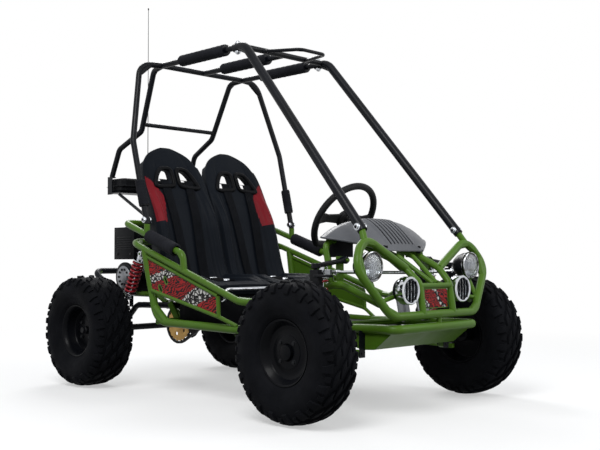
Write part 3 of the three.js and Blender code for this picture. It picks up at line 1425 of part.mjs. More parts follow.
function cagePads() {
  const roof = [cage.jointX, 0, -cage.jointX].map((x) =>
    rod(V(x, foam.roofFrontY, cage.roofZ), V(x, foam.roofRearY, cage.roofZ), foam.roofRadius, 8))
  return [...roof, ...mirrored((hand) => rod(pillarAt(foam.pillarLowZ, hand), pillarAt(foam.pillarTopZ, hand), foam.pillarRadius, 8))]
}

function armPad(hand) {
  const slope = (side.armRear.z - side.armFront.z) / (side.armRear.y - side.armFront.y)
  const armAt = (y) => V(hand * side.x, y, side.armRear.z + slope * (y - side.armRear.y))
  const [from, to] = [armAt(foam.armFrontY), armAt(foam.armRearY)]
  return rod(from, to, foam.armRadius, 10)
}

// Hex bolts through the cage joints
function hexBolt(centre, axis, half) {
  const along = (reach) => centre.clone().addScaledVector(axis, reach)
  return rod(along(-half - hex.thickness), along(half + hex.thickness), hex.radius, 6)
}

function boltSolids() {
  const bolts = []
  for (const hand of [1, -1]) {
    const aUp = at(cage.aTop, hand).sub(at(cage.aBottom, hand)).normalize()
    const bUp = at(cage.bKink, hand).sub(at(cage.bBottom, hand)).normalize()
    bolts.push(hexBolt(at(cage.aBottom, hand).addScaledVector(aUp, hex.edge), X, pillarRadius))
    bolts.push(hexBolt(at(cage.bBottom, hand).addScaledVector(bUp, hex.edge), X, cageRadius))
    bolts.push(hexBolt(at(cage.aEnd, hand).addScaledVector(Y, -hex.edge), Z, pillarRadius))
  }
  return join(bolts)
}

const bumperEnd = (hand) => V(hand * rear.postX, bumper.rootY, rear.cradleZ)
const bumperTop = (hand) => V(hand * bumper.half, bumper.y, bumper.z)
const bumperSpec = { points: [bumperEnd(1), bumperTop(1), bumperTop(-1), bumperEnd(-1)], radius: bumper.radius, bend: tightBend }

// Floor pan and the tray under the nose
function floorPan() {
  const half = [
    [side.lowerRear.x, pan.rearY], [side.lowerMid.x, side.lowerMid.y], [side.lowerTaper.x, side.lowerTaper.y],
  ]
  const flat = [...half, ...half.map(([x, y]) => [-x, y]).reverse()]
  const floor = sheet(outline(flat), pan.thickness, new THREE.Matrix4().setPosition(V(0, 0, floorTop - pan.thickness / 2)))
  const lower = pan.tray.map(([y, z]) => [y, z])
  const upper = pan.tray.map(([y, z]) => [y, z + pan.thickness]).reverse()
  const across = basis(Y, Z, X, V(0, 0, 0))
  const skin = sheet(outline([...lower, ...upper]), pan.trayHalf * 2, across)
  const sides = [1, -1].map((hand) =>
    sheet(outline(pan.tray), pan.thickness, basis(Y, Z, X, V(hand * (pan.trayHalf - pan.thickness / 2), 0, 0))))
  return join([floor, skin, ...sides])
}

// Engine on its base, with fins round the head, and the black shroud beside it
function engineSolid() {
  const box = (x0, x1, y0, y1, z0, z1) => block(V(x1 - x0, y1 - y0, z1 - z0), V((x0 + x1) / 2, (y0 + y1) / 2, (z0 + z1) / 2))
  const base = rear.cradleZ + crossRadius + gap
  const midY = (engine.frontY + engine.rearY) / 2
  const tap = (engine.rearY - engine.frontY) * engine.caseShare
  const solids = [
    box(engine.lowX, engine.highX, engine.frontY, engine.rearY, base, engine.baseTop),
    box(engine.lowX + tap, engine.highX - tap, engine.frontY + tap, engine.rearY - tap, base, engine.caseTop),
  ]
  const wide = engine.headWidth / 2
  const deep = engine.headDepth / 2
  const top = (z0, z1, grow) => box(engine.headX - wide - grow, engine.headX + wide + grow, midY - deep - grow, midY + deep + grow, z0, z1)
  solids.push(top(engine.caseTop - tap, engine.headTop, 0))
  const pitch = (engine.headTop - engine.caseTop + tap) / (engine.finCount + 1)
  for (let k = 1; k <= engine.finCount; k++) {
    const z = engine.caseTop - tap + k * pitch
    solids.push(top(z - engine.finThickness / 2, z + engine.finThickness / 2, engine.finReach))
  }
  return join(solids)
}

function bevelledBox({ lowX, highX, frontY, rearY, lowZ, topZ, bevel }) {
  const shape = outline([
    [lowX + bevel, frontY], [highX - bevel, frontY], [highX, frontY + bevel], [highX, rearY - bevel],
    [highX - bevel, rearY], [lowX + bevel, rearY], [lowX, rearY - bevel], [lowX, frontY + bevel],
  ])
  const options = { depth: topZ - lowZ - bevel, bevelEnabled: true, bevelThickness: bevel / 2, bevelSize: bevel / 2, bevelSegments: 1, bevelOffset: -bevel / 2 }
  return toSolid(new THREE.ExtrudeGeometry(shape, options).translate(0, 0, lowZ + bevel / 2))
}

function engineCover() {
  const shell = bevelledBox({
    lowX: engine.coverLowX,
    highX: engine.coverHighX,
    frontY: engine.coverFrontY,
    rearY: engine.coverRearY,
    lowZ: engine.headTop + gap,
    topZ: engine.coverTopZ,
    bevel: engine.coverBevel,
  })
  return shell
}

function muffler() {
  const place = (x) => V(x, silencer.y, silencer.z)
  const port = V(engine.highX - silencer.pipeRadius * 3, (engine.frontY + engine.rearY) / 2, silencer.z)
  const pipe = [port, port.clone().setX(silencer.elbowX), V(silencer.elbowX, silencer.y, silencer.z)]
  const footTop = silencer.z - silencer.radius * silencer.footShare
  const base = rear.cradleZ + crossRadius + gap
  return join([
    rod(place(silencer.lowX), place(silencer.highX), silencer.radius, 10),
    rod(place(silencer.lowX - silencer.cap), place(silencer.highX + silencer.cap), silencer.radius - silencer.cap, 10),
    tube({ points: pipe, radius: silencer.pipeRadius, bend: tightBend }),
    rod(place(silencer.tailX), V(silencer.tailX, silencer.tailY, silencer.z), silencer.pipeRadius, 6),
    block(V(silencer.footWidth, silencer.footDepth, footTop - base), V(silencer.footX, silencer.footY, (footTop + base) / 2)),
  ])
}

function fuelTank() {
  const wide = tank.half
  const half = { lowX: -wide, highX: wide, frontY: tank.frontY + tank.flange, rearY: tank.rearY - tank.flange }
  const body = bevelledBox({ ...half, lowZ: tank.lowZ, topZ: tank.topZ, bevel: tank.bevel })
  const depth = tank.rearY - tank.frontY
  const seam = block(V((wide + tank.flange) * 2, depth, tank.flangeThickness), V(0, tank.frontY + depth / 2, tank.seamZ))
  const cap = V(tank.capX, tank.frontY + depth / 2, tank.topZ - gap)
  return join([body, seam, rod(cap, cap.clone().addScaledVector(Z, tank.capHeight), tank.capRadius, 10)])
}

// Headlamp: a hollow bowl with a rim, held by a bracket to the loop below it
const lampFace = (lamp, hand) => V(hand * lamp.x, lamp.y, lamp.z)
function headlampSolid(hand) {
  const { radius, depth, rimWidth, backShare, lensDome, lensShare, domeShare, lensInset } = headlamp
  const bowl = turned([
    [0, -lensDome], [(radius - rimWidth) * lensShare, -lensDome * domeShare], [radius - rimWidth, lensInset], [radius - rimWidth, 0],
    [radius, 0], [radius, rimWidth * 2], [radius * backShare, depth], [0, depth],
  ], lampFace(headlamp, hand), Y, 12)
  const low = V(hand * headlamp.x, headlamp.y + rimWidth * 2, headlamp.z - radius + rimWidth)
  return bowl.add(rod(low, V(hand * headlamp.x, nose.lampBarLow.y, nose.lampBarLow.z), lampBarRadius, 6))
}

function fogLampSolid(hand) {
  const { radius, depth, ring: rimWidth, ringDepth, face, bars, barHeight } = fogLamp
  const body = turned([
    [radius - rimWidth, 0], [radius, 0], [radius, ringDepth], [radius - rimWidth, depth], [0, depth], [0, face + face],
    [radius - rimWidth, face + face], [radius - rimWidth, 0],
  ], lampFace(fogLamp, hand), Y, 12)
  const solids = [body]
  const room = radius * 2 - rimWidth * 2
  for (let k = 0; k < bars; k++) {
    const drop = (k - (bars - 1) / 2) * (room / (bars + 1))
    const wide = Math.sqrt((room / 2) ** 2 - drop ** 2) * 2 + rimWidth
    solids.push(block(V(wide, face, barHeight), V(hand * fogLamp.x, fogLamp.y + face / 2 + gap, fogLamp.z + drop)))
  }
  const back = V(hand * fogLamp.x, fogLamp.y + depth - face, fogLamp.z)
  solids.push(rod(back, V(hand * fogLamp.x, nose.lampBarIn.y, nose.lampBarIn.z), lampBarRadius, 6))
  return join(solids)
}

function frontPlate() {
  const top = nose.plateBarZ - cageBarRadius * Math.cos(Math.PI / tubeSides) - gap
  const low = V(plate.half * 2, plate.thickness, top - plate.low)
  return block(low, V(0, nose.plateBarY, (top + plate.low) / 2))
}

function pedalSolid(x) {
  const root = V(x, pedal.y, pedal.z)
  const up = V(0, Math.sin(pedal.lean), Math.cos(pedal.lean))
  const point = (reach) => root.clone().addScaledVector(up, reach)
  const bore = rod(V(x - overrun, pedal.y, pedal.z), V(x + overrun, pedal.y, pedal.z), clearOf(pedal.shaftRadius + gap, 8), 8)
  const size = V(pedal.width, pedal.thickness, pedal.height)
  const face = block(size, point(pedal.armLength - pedal.height / 2), new THREE.Euler(-pedal.lean, 0, 0))
  return join([rod(root, point(pedal.armLength), pedal.armRadius, 6), face, rod(V(x - pedal.hubHalf, pedal.y, pedal.z), V(x + pedal.hubHalf, pedal.y, pedal.z), pedal.hubRadius, 8)]).subtract(bore)
}

// Brackets the middle of the frame carries: steering sleeve, front shock mounts, pedal shaft and seat bars
function midBrackets() {
  const sleeveMid = columnPoint(steering.sleeveStart + steering.sleeveLength / 2)
  const column = rod(columnPoint(steering.sleeveStart - overrun), columnPoint(steering.columnLength), clearOf(steering.columnRadius + gap, 10), 10)
  const rise = dash.z - sleeveMid.z
  const size = V(steering.sleevePlate, steering.sleevePlateDepth, rise)
  const solids = [
    rod(columnPoint(steering.sleeveStart), columnPoint(steering.sleeveStart + steering.sleeveLength), steering.sleeveRadius, 10),
    block(size, V(steering.centre.x, dash.y, sleeveMid.z + rise / 2)),
    rod(V(-side.lowerTaper.x, pedal.y, pedal.z), V(side.lowerTaper.x, pedal.y, pedal.z), pedal.shaftRadius, 6),
  ]
  for (const hand of [1, -1]) {
    const eye = at(arm.shockTop, hand)
    const plateY = eye.y + shock.eyeWidth / 2 + runningGap + arm.tabThickness / 2
    const reach = eye.x * hand - dash.x + arm.eyeRadius
    const tab = V(reach, arm.tabThickness, arm.shockTabDepth * 2)
    solids.push(block(tab, V(hand * (dash.x + reach / 2), plateY, eye.z)))
    solids.push(rod(V(eye.x, plateY, eye.z), V(eye.x, eye.y - shock.eyeWidth / 2 - runningGap, eye.z), arm.boltRadius, 6))
  }
  return { solid: join(solids), column }
}

function frontRim(hand) {
  const centre = V((hand * frontTrack) / 2, frontAxleY, axleZ)
  const bore = knuckle.spindleRadius + runningGap
  const face = rim.frontWidth / 2 - rim.frontDish
  const point = (reach) => centre.clone().addScaledVector(X, hand * reach)
  const hub = rod(point(-rim.hubBack), point(face + rim.capLength), rim.hubRadius, 10)
  const spindleEnd = arm.outerX + knuckle.spindleLength - frontTrack / 2
  const room = rod(point(-rim.hubBack - overrun), point(spindleEnd + runningGap), clearOf(bore, 10), 10)
  const solids = [rimSolid(rim.frontWidth, rim.frontDish, bore, centre, hand), hub]
  for (let k = 0; k < rim.bolts; k++) {
    const angle = ((k + 0.5) / rim.bolts) * 2 * Math.PI
    const spot = V(0, Math.cos(angle), Math.sin(angle)).multiplyScalar(rim.boltCircle).add(point(face - rim.wall))
    solids.push(rod(spot, spot.clone().addScaledVector(X, hand * (rim.boltHead + rim.wall)), rim.boltRadius, 6))
  }
  return cut(join(solids), [room])
}

const rearRim = (hand) => {
  const centre = V((hand * rearTrack) / 2, rearAxleY, axleZ)
  const solids = [rimSolid(rim.rearWidth, rim.rearDish, axle.radius + gap, centre, hand)]
  return join(solids)
}

// Frame and cage. The frame is one weldment; the cage bolts to its four stubs.
const frameSpecs = [...mirrored(sideTubes).flat(), ...noseTubes(), ...crossTubes(), bumperSpec]
const frameClear = tubes(frameSpecs, gap)
const cageClear = tubes(cageSpecs, gap)
const { solid: midSolid, column: columnRoom } = midBrackets()
const jackEnd = (hand) => V(hand * (rear.postX + overrun), jack.y, jack.z)
const jackRoom = rod(jackEnd(-1), jackEnd(1), clearOf(jack.shaftRadius + gap, 10), 10)
const brackets = [...mirrored(sidePanel), ...mirrored(armBrackets), rearBrackets(), midSolid]
piece('main_frame', cut(join([tubes(frameSpecs), ...brackets]), [cageClear, columnRoom, jackRoom]), frameGreen)
piece('floor_pan', cut(floorPan(), [frameClear]), cageBlack)
piece('roll_cage', join([tubes(cageSpecs), tubes(roofSpecs), ...cagePads(), boltSolids()]), cageBlack)
piece('armrest_pad_left', armPad(1).subtract(frameClear), foamBlack)
piece('armrest_pad_right', armPad(-1).subtract(frameClear), foamBlack)
piece('seat_left', seatSolid(1), vinyl)
piece('seat_right', seatSolid(-1), vinyl)
piece('harness_left', harness(1), webbing)
piece('harness_right', harness(-1), webbing)
piece('cowl', cowlSolid([frameClear]), cowlGrey)
piece('engine', join([engineSolid(), muffler()]), darkSteel)
piece('engine_cover', engineCover(), cageBlack)
piece('fuel_tank', fuelTank(), cageBlack)
const mast = V(antenna.x, antenna.y, tank.lowZ)
piece('antenna', join([
  rod(mast, mast.clone().setZ(tank.lowZ + antenna.baseHeight), antenna.baseRadius, 10),
  rod(mast, mast.clone().setZ(antenna.topZ), antenna.radius, 6),
]), darkSteel)
piece('front_plate', frontPlate(), plateRed)
piece('steering_wheel', steeringWheel(), rubber)
piece('steering_column', steeringColumn(), darkSteel)
for (const [hand, label] of [[1, 'left'], [-1, 'right']]) {
  piece(`headlamp_${label}`, cut(headlampSolid(hand), [frameClear]), chrome)
  piece(`fog_lamp_${label}`, cut(fogLampSolid(hand), [frameClear]), cageBlack)
  const { end, body } = tieRodParts(hand)
  piece(`tie_rod_${label}`, body, chrome)
  piece(`tie_rod_end_${label}`, end, steel)
  piece(`lower_arm_${label}`, lowerArm(hand), frameGreen)
  piece(`upper_arm_${label}`, upperArm(hand), cageBlack)
  piece(`ball_joint_${label}`, ballJoint(hand), steel)
  piece(`knuckle_${label}`, knuckleSolid(hand), darkSteel)
  const { body: shockBody, shaft, spring } = shockParts(at(arm.shockTop, hand), at(arm.shockLow, hand), Y, shock.front)
  piece(`front_shock_${label}`, shockBody, chrome)
  piece(`front_shock_rod_${label}`, shaft, chrome)
  piece(`front_spring_${label}`, spring, springRed)
  piece(`front_rim_${label}`, frontRim(hand), rimBlack)
  piece(`front_tyre_${label}`, tyreSolid(tyre.frontWidth, V((hand * frontTrack) / 2, frontAxleY, axleZ)), rubber)
}
piece('rear_axle', rearAxle().add(brakeDisc()), steel)
piece('sprocket', toothedPlate({ ...sprocket, bore: clearOf(axle.radius + gap, 12) }, V(sprocket.x, rearAxleY, axleZ)), bronze)
piece('swing_arm', swingArm(), cageBlack)
piece('chain', chainSolid(), darkSteel)
piece('jackshaft', jackshaft(), steel)
for (const [hand, label] of [[1, 'left'], [-1, 'right']]) {
  const { body: shockBody, shaft, spring } = shockParts(at(swing.shockTop, hand), at(swing.shockLow, hand), X, shock.rear)
  piece(`rear_shock_${label}`, shockBody, chrome)
  piece(`rear_shock_rod_${label}`, shaft, chrome)
  piece(`rear_spring_${label}`, spring, springRed)
  piece(`rear_rim_${label}`, rearRim(hand), rimBlack)
  piece(`rear_tyre_${label}`, tyreSolid(tyre.rearWidth, V((hand * rearTrack) / 2, rearAxleY, axleZ)), rubber)
}
piece('throttle_pedal', pedalSolid(pedal.throttleX), steel)
piece('brake_pedal', pedalSolid(pedal.brakeX), steel)

export default kart
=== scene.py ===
import json
from math import copysign, cos, exp, pi, radians, sin, sqrt, tan

import bmesh
import bpy
import numpy as np
from mathutils import Matrix, Vector, geometry
from mathutils.bvhtree import BVHTree


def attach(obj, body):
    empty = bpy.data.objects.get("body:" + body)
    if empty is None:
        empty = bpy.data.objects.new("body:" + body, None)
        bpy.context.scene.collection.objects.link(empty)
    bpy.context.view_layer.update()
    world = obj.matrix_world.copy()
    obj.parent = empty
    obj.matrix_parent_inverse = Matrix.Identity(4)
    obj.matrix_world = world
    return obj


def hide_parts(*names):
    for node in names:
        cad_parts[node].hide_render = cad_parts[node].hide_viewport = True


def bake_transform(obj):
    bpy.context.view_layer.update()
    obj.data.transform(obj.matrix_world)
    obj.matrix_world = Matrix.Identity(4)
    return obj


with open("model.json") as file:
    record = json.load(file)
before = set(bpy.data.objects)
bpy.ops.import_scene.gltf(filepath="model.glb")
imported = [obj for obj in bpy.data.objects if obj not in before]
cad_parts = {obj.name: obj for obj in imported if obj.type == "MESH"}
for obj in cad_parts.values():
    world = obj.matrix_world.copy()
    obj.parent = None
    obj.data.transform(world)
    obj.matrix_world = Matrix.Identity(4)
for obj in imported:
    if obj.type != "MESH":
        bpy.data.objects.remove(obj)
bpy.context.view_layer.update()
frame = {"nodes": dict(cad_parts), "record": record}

# Every length below is in millimetres until a mesh is made
MM = 0.001
BODY_OF = {n: b for b, members in frame["record"]["behaviour"]["bodies"].items() for n in members}
HANDS = ((1, "left"), (-1, "right"))
# How far the visible tubes stand out over the coarse solids
PROUD = 0.35
X = Vector((1, 0, 0))
Y = Vector((0, 1, 0))
Z = Vector((0, 0, 1))


def srgb(r, g, b):
    def linear(v):
        v /= 255
        return v / 12.92 if v <= 0.04045 else ((v + 0.055) / 1.055) ** 2.4
    return (linear(r), linear(g), linear(b), 1)


# Materials
class Wiring:
    """Adds nodes to a tree and joins them."""

    def __init__(self, tree):
        self.nodes = tree.nodes
        self.links = tree.links

    def node(self, kind, **values):
        made = self.nodes.new(kind)
        for key, value in values.items():
            if key in made.inputs:
                made.inputs[key].default_value = value
            else:
                setattr(made, key, value)
        return made

    def link(self, source, target):
        self.links.new(source, target)

    def mix_colors(self, share):
        made = self.node("ShaderNodeMix", data_type="RGBA")
        self.link(share, made.inputs[0])
        return made

    def mix_shaders(self, share, under, over, output):
        made = self.node("ShaderNodeMixShader")
        self.link(share, made.inputs["Fac"])
        self.link(under.outputs[0], made.inputs[1])
        self.link(over.outputs[0], made.inputs[2])
        self.link(made.outputs[0], self.nodes[output].inputs["Surface"])


class Finish(Wiring):
    def __init__(self, name, color, roughness, metallic=0.0, coat=0.0, coat_roughness=0.1, specular=0.5):
        self.material = bpy.data.materials.new(name)
        self.material.use_nodes = True
        super().__init__(self.material.node_tree)
        self.shader = self.nodes["Principled BSDF"]
        self.color = color
        for key, value in (("Base Color", color), ("Roughness", roughness), ("Metallic", metallic),
                           ("Coat Weight", coat), ("Coat Roughness", coat_roughness),
                           ("Specular IOR Level", specular)):
            self.shader.inputs[key].default_value = value
        self.roughness = roughness
        self.coords = self.node("ShaderNodeTexCoord")
        self.last_height = None
        FINISH[name] = self.material

    def place(self, stretch=(1, 1, 1)):
        mapping = self.node("ShaderNodeMapping", Scale=stretch)
        self.link(self.coords.outputs["Object"], mapping.inputs["Vector"])
        return mapping.outputs["Vector"]

    def noise(self, scale, detail=3.0, stretch=(1, 1, 1)):
        made = self.node("ShaderNodeTexNoise", Scale=scale, Detail=detail)
        self.link(self.place(stretch), made.inputs["Vector"])
        return made.outputs["Fac"]

    def cells(self, scale, feature="F1"):
        made = self.node("ShaderNodeTexVoronoi", Scale=scale, feature=feature)
        self.link(self.place(), made.inputs["Vector"])
        return made.outputs["Distance"]

    def bands(self, scale, direction, distortion=0.0, detail=2.0, stretch=(1, 1, 1)):
        made = self.node("ShaderNodeTexWave", Scale=scale, Distortion=distortion, Detail=detail,
                         bands_direction=direction)
        self.link(self.place(stretch), made.inputs["Vector"])
        return made.outputs["Fac"]

    def ramp(self, value, stops):
        made = self.node("ShaderNodeValToRGB")
        elements = made.color_ramp.elements
        while len(elements) < len(stops):
            elements.new(0.5)
        for element, (place, color) in zip(elements, stops):
            element.position = place
            element.color = color
        self.link(value, made.inputs["Fac"])
        return made.outputs["Color"]

    def vary(self, other, scale, detail=4.0, low=0.35, high=0.7):
        color = self.ramp(self.noise(scale, detail), [(low, self.color), (high, other)])
        self.link(color, self.shader.inputs["Base Color"])
        return self

    def wear(self, spread, scale):
        low, high = max(0.02, self.roughness - spread), min(1, self.roughness + spread)
        spans = {"From Min": 0.3, "From Max": 0.7, "To Min": low, "To Max": high}
        made = self.node("ShaderNodeMapRange", **spans)
        self.link(self.noise(scale, 4.0), made.inputs["Value"])
        self.link(made.outputs["Result"], self.shader.inputs["Roughness"])
        return self

    def relief(self, value, strength, distance):
        made = self.node("ShaderNodeBump", Strength=strength, Distance=distance)
        self.link(value, made.inputs["Height"])
        if self.last_height is not None:
            self.link(self.last_height, made.inputs["Normal"])
        self.last_height = made.outputs["Normal"]
        self.link(self.last_height, self.shader.inputs["Normal"])
        return self


FINISH = {}


def finish(name, color, other, vary, wear=None, **values):
    """A finish that varies between two colours, with its wear as spread and scale."""
    made = Finish(name, srgb(*color), **values).vary(srgb(*other), *vary)
    return made.wear(*wear) if wear else made


def make_finishes():
    made = finish("frame_green", (72, 104, 28), (70, 106, 28), (9,), (0.08, 14),
                  roughness=0.36, coat=0.07, coat_roughness=0.12, specular=0.12)
    made.relief(made.noise(260, 2), 0.12, 0.0006)
    made = finish("cage_black", (7, 9, 13), (13, 16, 23), (7,), (0.08, 12),
                  roughness=0.38, coat=0.04, coat_roughness=0.15, specular=0.12)
    made.relief(made.noise(320, 2), 0.1, 0.0005)
    made = finish("tyre_rubber", (8, 9, 12), (15, 16, 20), (12, 6), (0.1, 18), roughness=0.8, specular=0.07)
    made.relief(made.noise(420, 4), 0.35, 0.0008)
    made = finish("rim_black", (6, 7, 10), (11, 12, 16), (10,), (0.08, 16),
                  roughness=0.38, coat=0.02, specular=0.06)
    made.relief(made.noise(300, 2), 0.1, 0.0004)
    made = finish("vinyl", (19, 23, 29), (14, 18, 24), (6,), (0.07, 10), roughness=0.5, specular=0.05)
    made.relief(made.noise(16, 4), 0.25, 0.004).relief(made.cells(560), 0.3, 0.0006)
    made = finish("vinyl_red", (122, 28, 36), (112, 24, 32), (9,), (0.07, 12), roughness=0.48, specular=0.08)
    made.relief(made.cells(560), 0.28, 0.0006)
    made = finish("webbing", (6, 8, 12), (12, 14, 19), (40,), roughness=0.78, specular=0.08)
    made.relief(made.bands(420, "Z", 0.4), 0.5, 0.0006).relief(made.bands(300, "X", 0.4), 0.4, 0.0005)
    made = finish("foam", (20, 21, 25), (30, 31, 36), (20, 6), roughness=0.88, specular=0.12)
    made.relief(made.noise(36, 3), 0.35, 0.003).relief(made.noise(520, 3), 0.5, 0.0008)
    made = finish("cowl_grey", (84, 86, 91), (70, 72, 77), (8,), (0.08, 10), roughness=0.46, specular=0.4)
    made.relief(made.cells(700), 0.3, 0.0005)
    made = finish("cover_black", (8, 9, 11), (18, 19, 22), (9,), (0.08, 12), roughness=0.46, specular=0.06)
    made.relief(made.cells(620), 0.25, 0.0005)
    made = finish("grip_black", (12, 13, 15), (20, 21, 24), (14,), (0.08, 20), roughness=0.6, specular=0.2)
    made.relief(made.cells(480), 0.4, 0.0007)
    finish("chrome", (205, 208, 212), (184, 188, 194), (14,), (0.05, 30), roughness=0.1, metallic=1.0)
    # The dark warm patches in lamp_chrome are painted reflection: they stand in for the dark surroundings
    # that the lamp's reflector shows
    finish("lamp_chrome", (172, 174, 178), (74, 71, 65), (55, 2, 0.42, 0.6), (0.05, 40),
           roughness=0.12, metallic=1.0)
    made = finish("steel", (142, 145, 149), (112, 114, 118), (22, 5), (0.12, 26),
                  roughness=0.36, metallic=0.9)
    made.relief(made.noise(200, 3, (1, 14, 1)), 0.12, 0.0004)
    made = finish("dark_steel", (13, 14, 17), (27, 28, 31), (16, 5), (0.12, 22),
                  roughness=0.46, specular=0.12)
    made.relief(made.noise(240, 3), 0.25, 0.0006)
    finish("spring_red", (156, 36, 46), (140, 30, 40), (30,), (0.08, 40),
           roughness=0.34, coat=0.1, specular=0.2)
    finish("sprocket_bronze", (196, 156, 86), (164, 126, 62), (26, 5), (0.1, 30),
           roughness=0.38, metallic=0.6)
    made = finish("pan_black", (16, 17, 20), (30, 31, 34), (12, 5), (0.12, 12),
                  roughness=0.46, specular=0.12)
    made.relief(made.cells(70), 0.4, 0.0015)
    glass = Finish("lamp_glass", srgb(236, 240, 244), 0.05)
    glass.shader.inputs["Transmission Weight"].default_value = 0.95
    glass.shader.inputs["IOR"].default_value = 1.45
    glass.relief(glass.bands(60, "X"), 0.25, 0.001)
    print_pattern("panel_print", 30, 3.1)
    print_pattern("plate_red", 34, 6)


def print_pattern(name, stroke_scale, sweep_scale):
    """A plain made-up pattern: dark brush strokes over red, with slanting bands of pale patches."""
    made = Finish(name, srgb(158, 38, 42), 0.4, coat=0.04, specular=0.08)
    red, black, white = srgb(152, 34, 34), srgb(20, 18, 20), srgb(200, 198, 194)
    strokes = made.bands(stroke_scale, "DIAGONAL", 16.0, 3.0, (1, 0.8, 1.7))
    sweep = made.bands(sweep_scale, "DIAGONAL", 5.0, 2.0, (1, 0.6, 1.4))
    patches = made.cells(stroke_scale * 2.6, "DISTANCE_TO_EDGE")
    mix = made.mix_colors(made.ramp(sweep, [(0.8, (0, 0, 0, 1)), (0.84, (1, 1, 1, 1))]))
    made.link(made.ramp(strokes, [(0.38, black), (0.5, red)]), mix.inputs[6])
    made.link(made.ramp(patches, [(0.13, black), (0.19, white)]), mix.inputs[7])
    made.link(mix.outputs[2], made.shader.inputs["Base Color"])
    made.wear(0.08, 20)


make_finishes()


# Mesh building
def ease(t):
    t = min(1, max(0, t))
    return t * t * (3 - 2 * t)


def round_corners(points, bend, turn_step=pi / 16):
    points = [Vector(p) for p in points]
    stations = [points[0].copy()]
    for i in range(1, len(points) - 1):
        back = points[i - 1] - points[i]
        ahead = points[i + 1] - points[i]
        room = min(back.length, ahead.length) * 0.48
        back.normalize()
        ahead.normalize()
        turn = pi - back.angle(ahead)
        reach = min(bend * tan(turn / 2), room)
        radius = reach / tan(turn / 2)
        inward = (ahead - back * ahead.dot(back)).normalized()
        centre = points[i] + back * reach + inward * radius
        steps = max(2, round(turn / turn_step))
        for k in range(steps + 1):
            angle = turn * k / steps
            stations.append(centre - inward * radius * cos(angle) - back * radius * sin(angle))
    stations.append(points[-1].copy())
    return stations


def frame_for(direction):
    direction = Vector(direction).normalized()
    side = direction.cross(Z if abs(direction.z) < 0.9 else X).normalized()
    return side, direction.cross(side).normalized()


def grid(rings, count, closed=False):
    """Quads between rings of points, one ring after the other."""
    faces = []
    for k in range(rings if closed else rings - 1):
        here, there = k * count, (k + 1) % rings * count
        for j in range(count):
            after = (j + 1) % count
            faces.append((here + j, here + after, there + after, there + j))
    return faces


def end_caps(rings, count):
    return [tuple(range(count))[::-1], tuple((rings - 1) * count + j for j in range(count))]


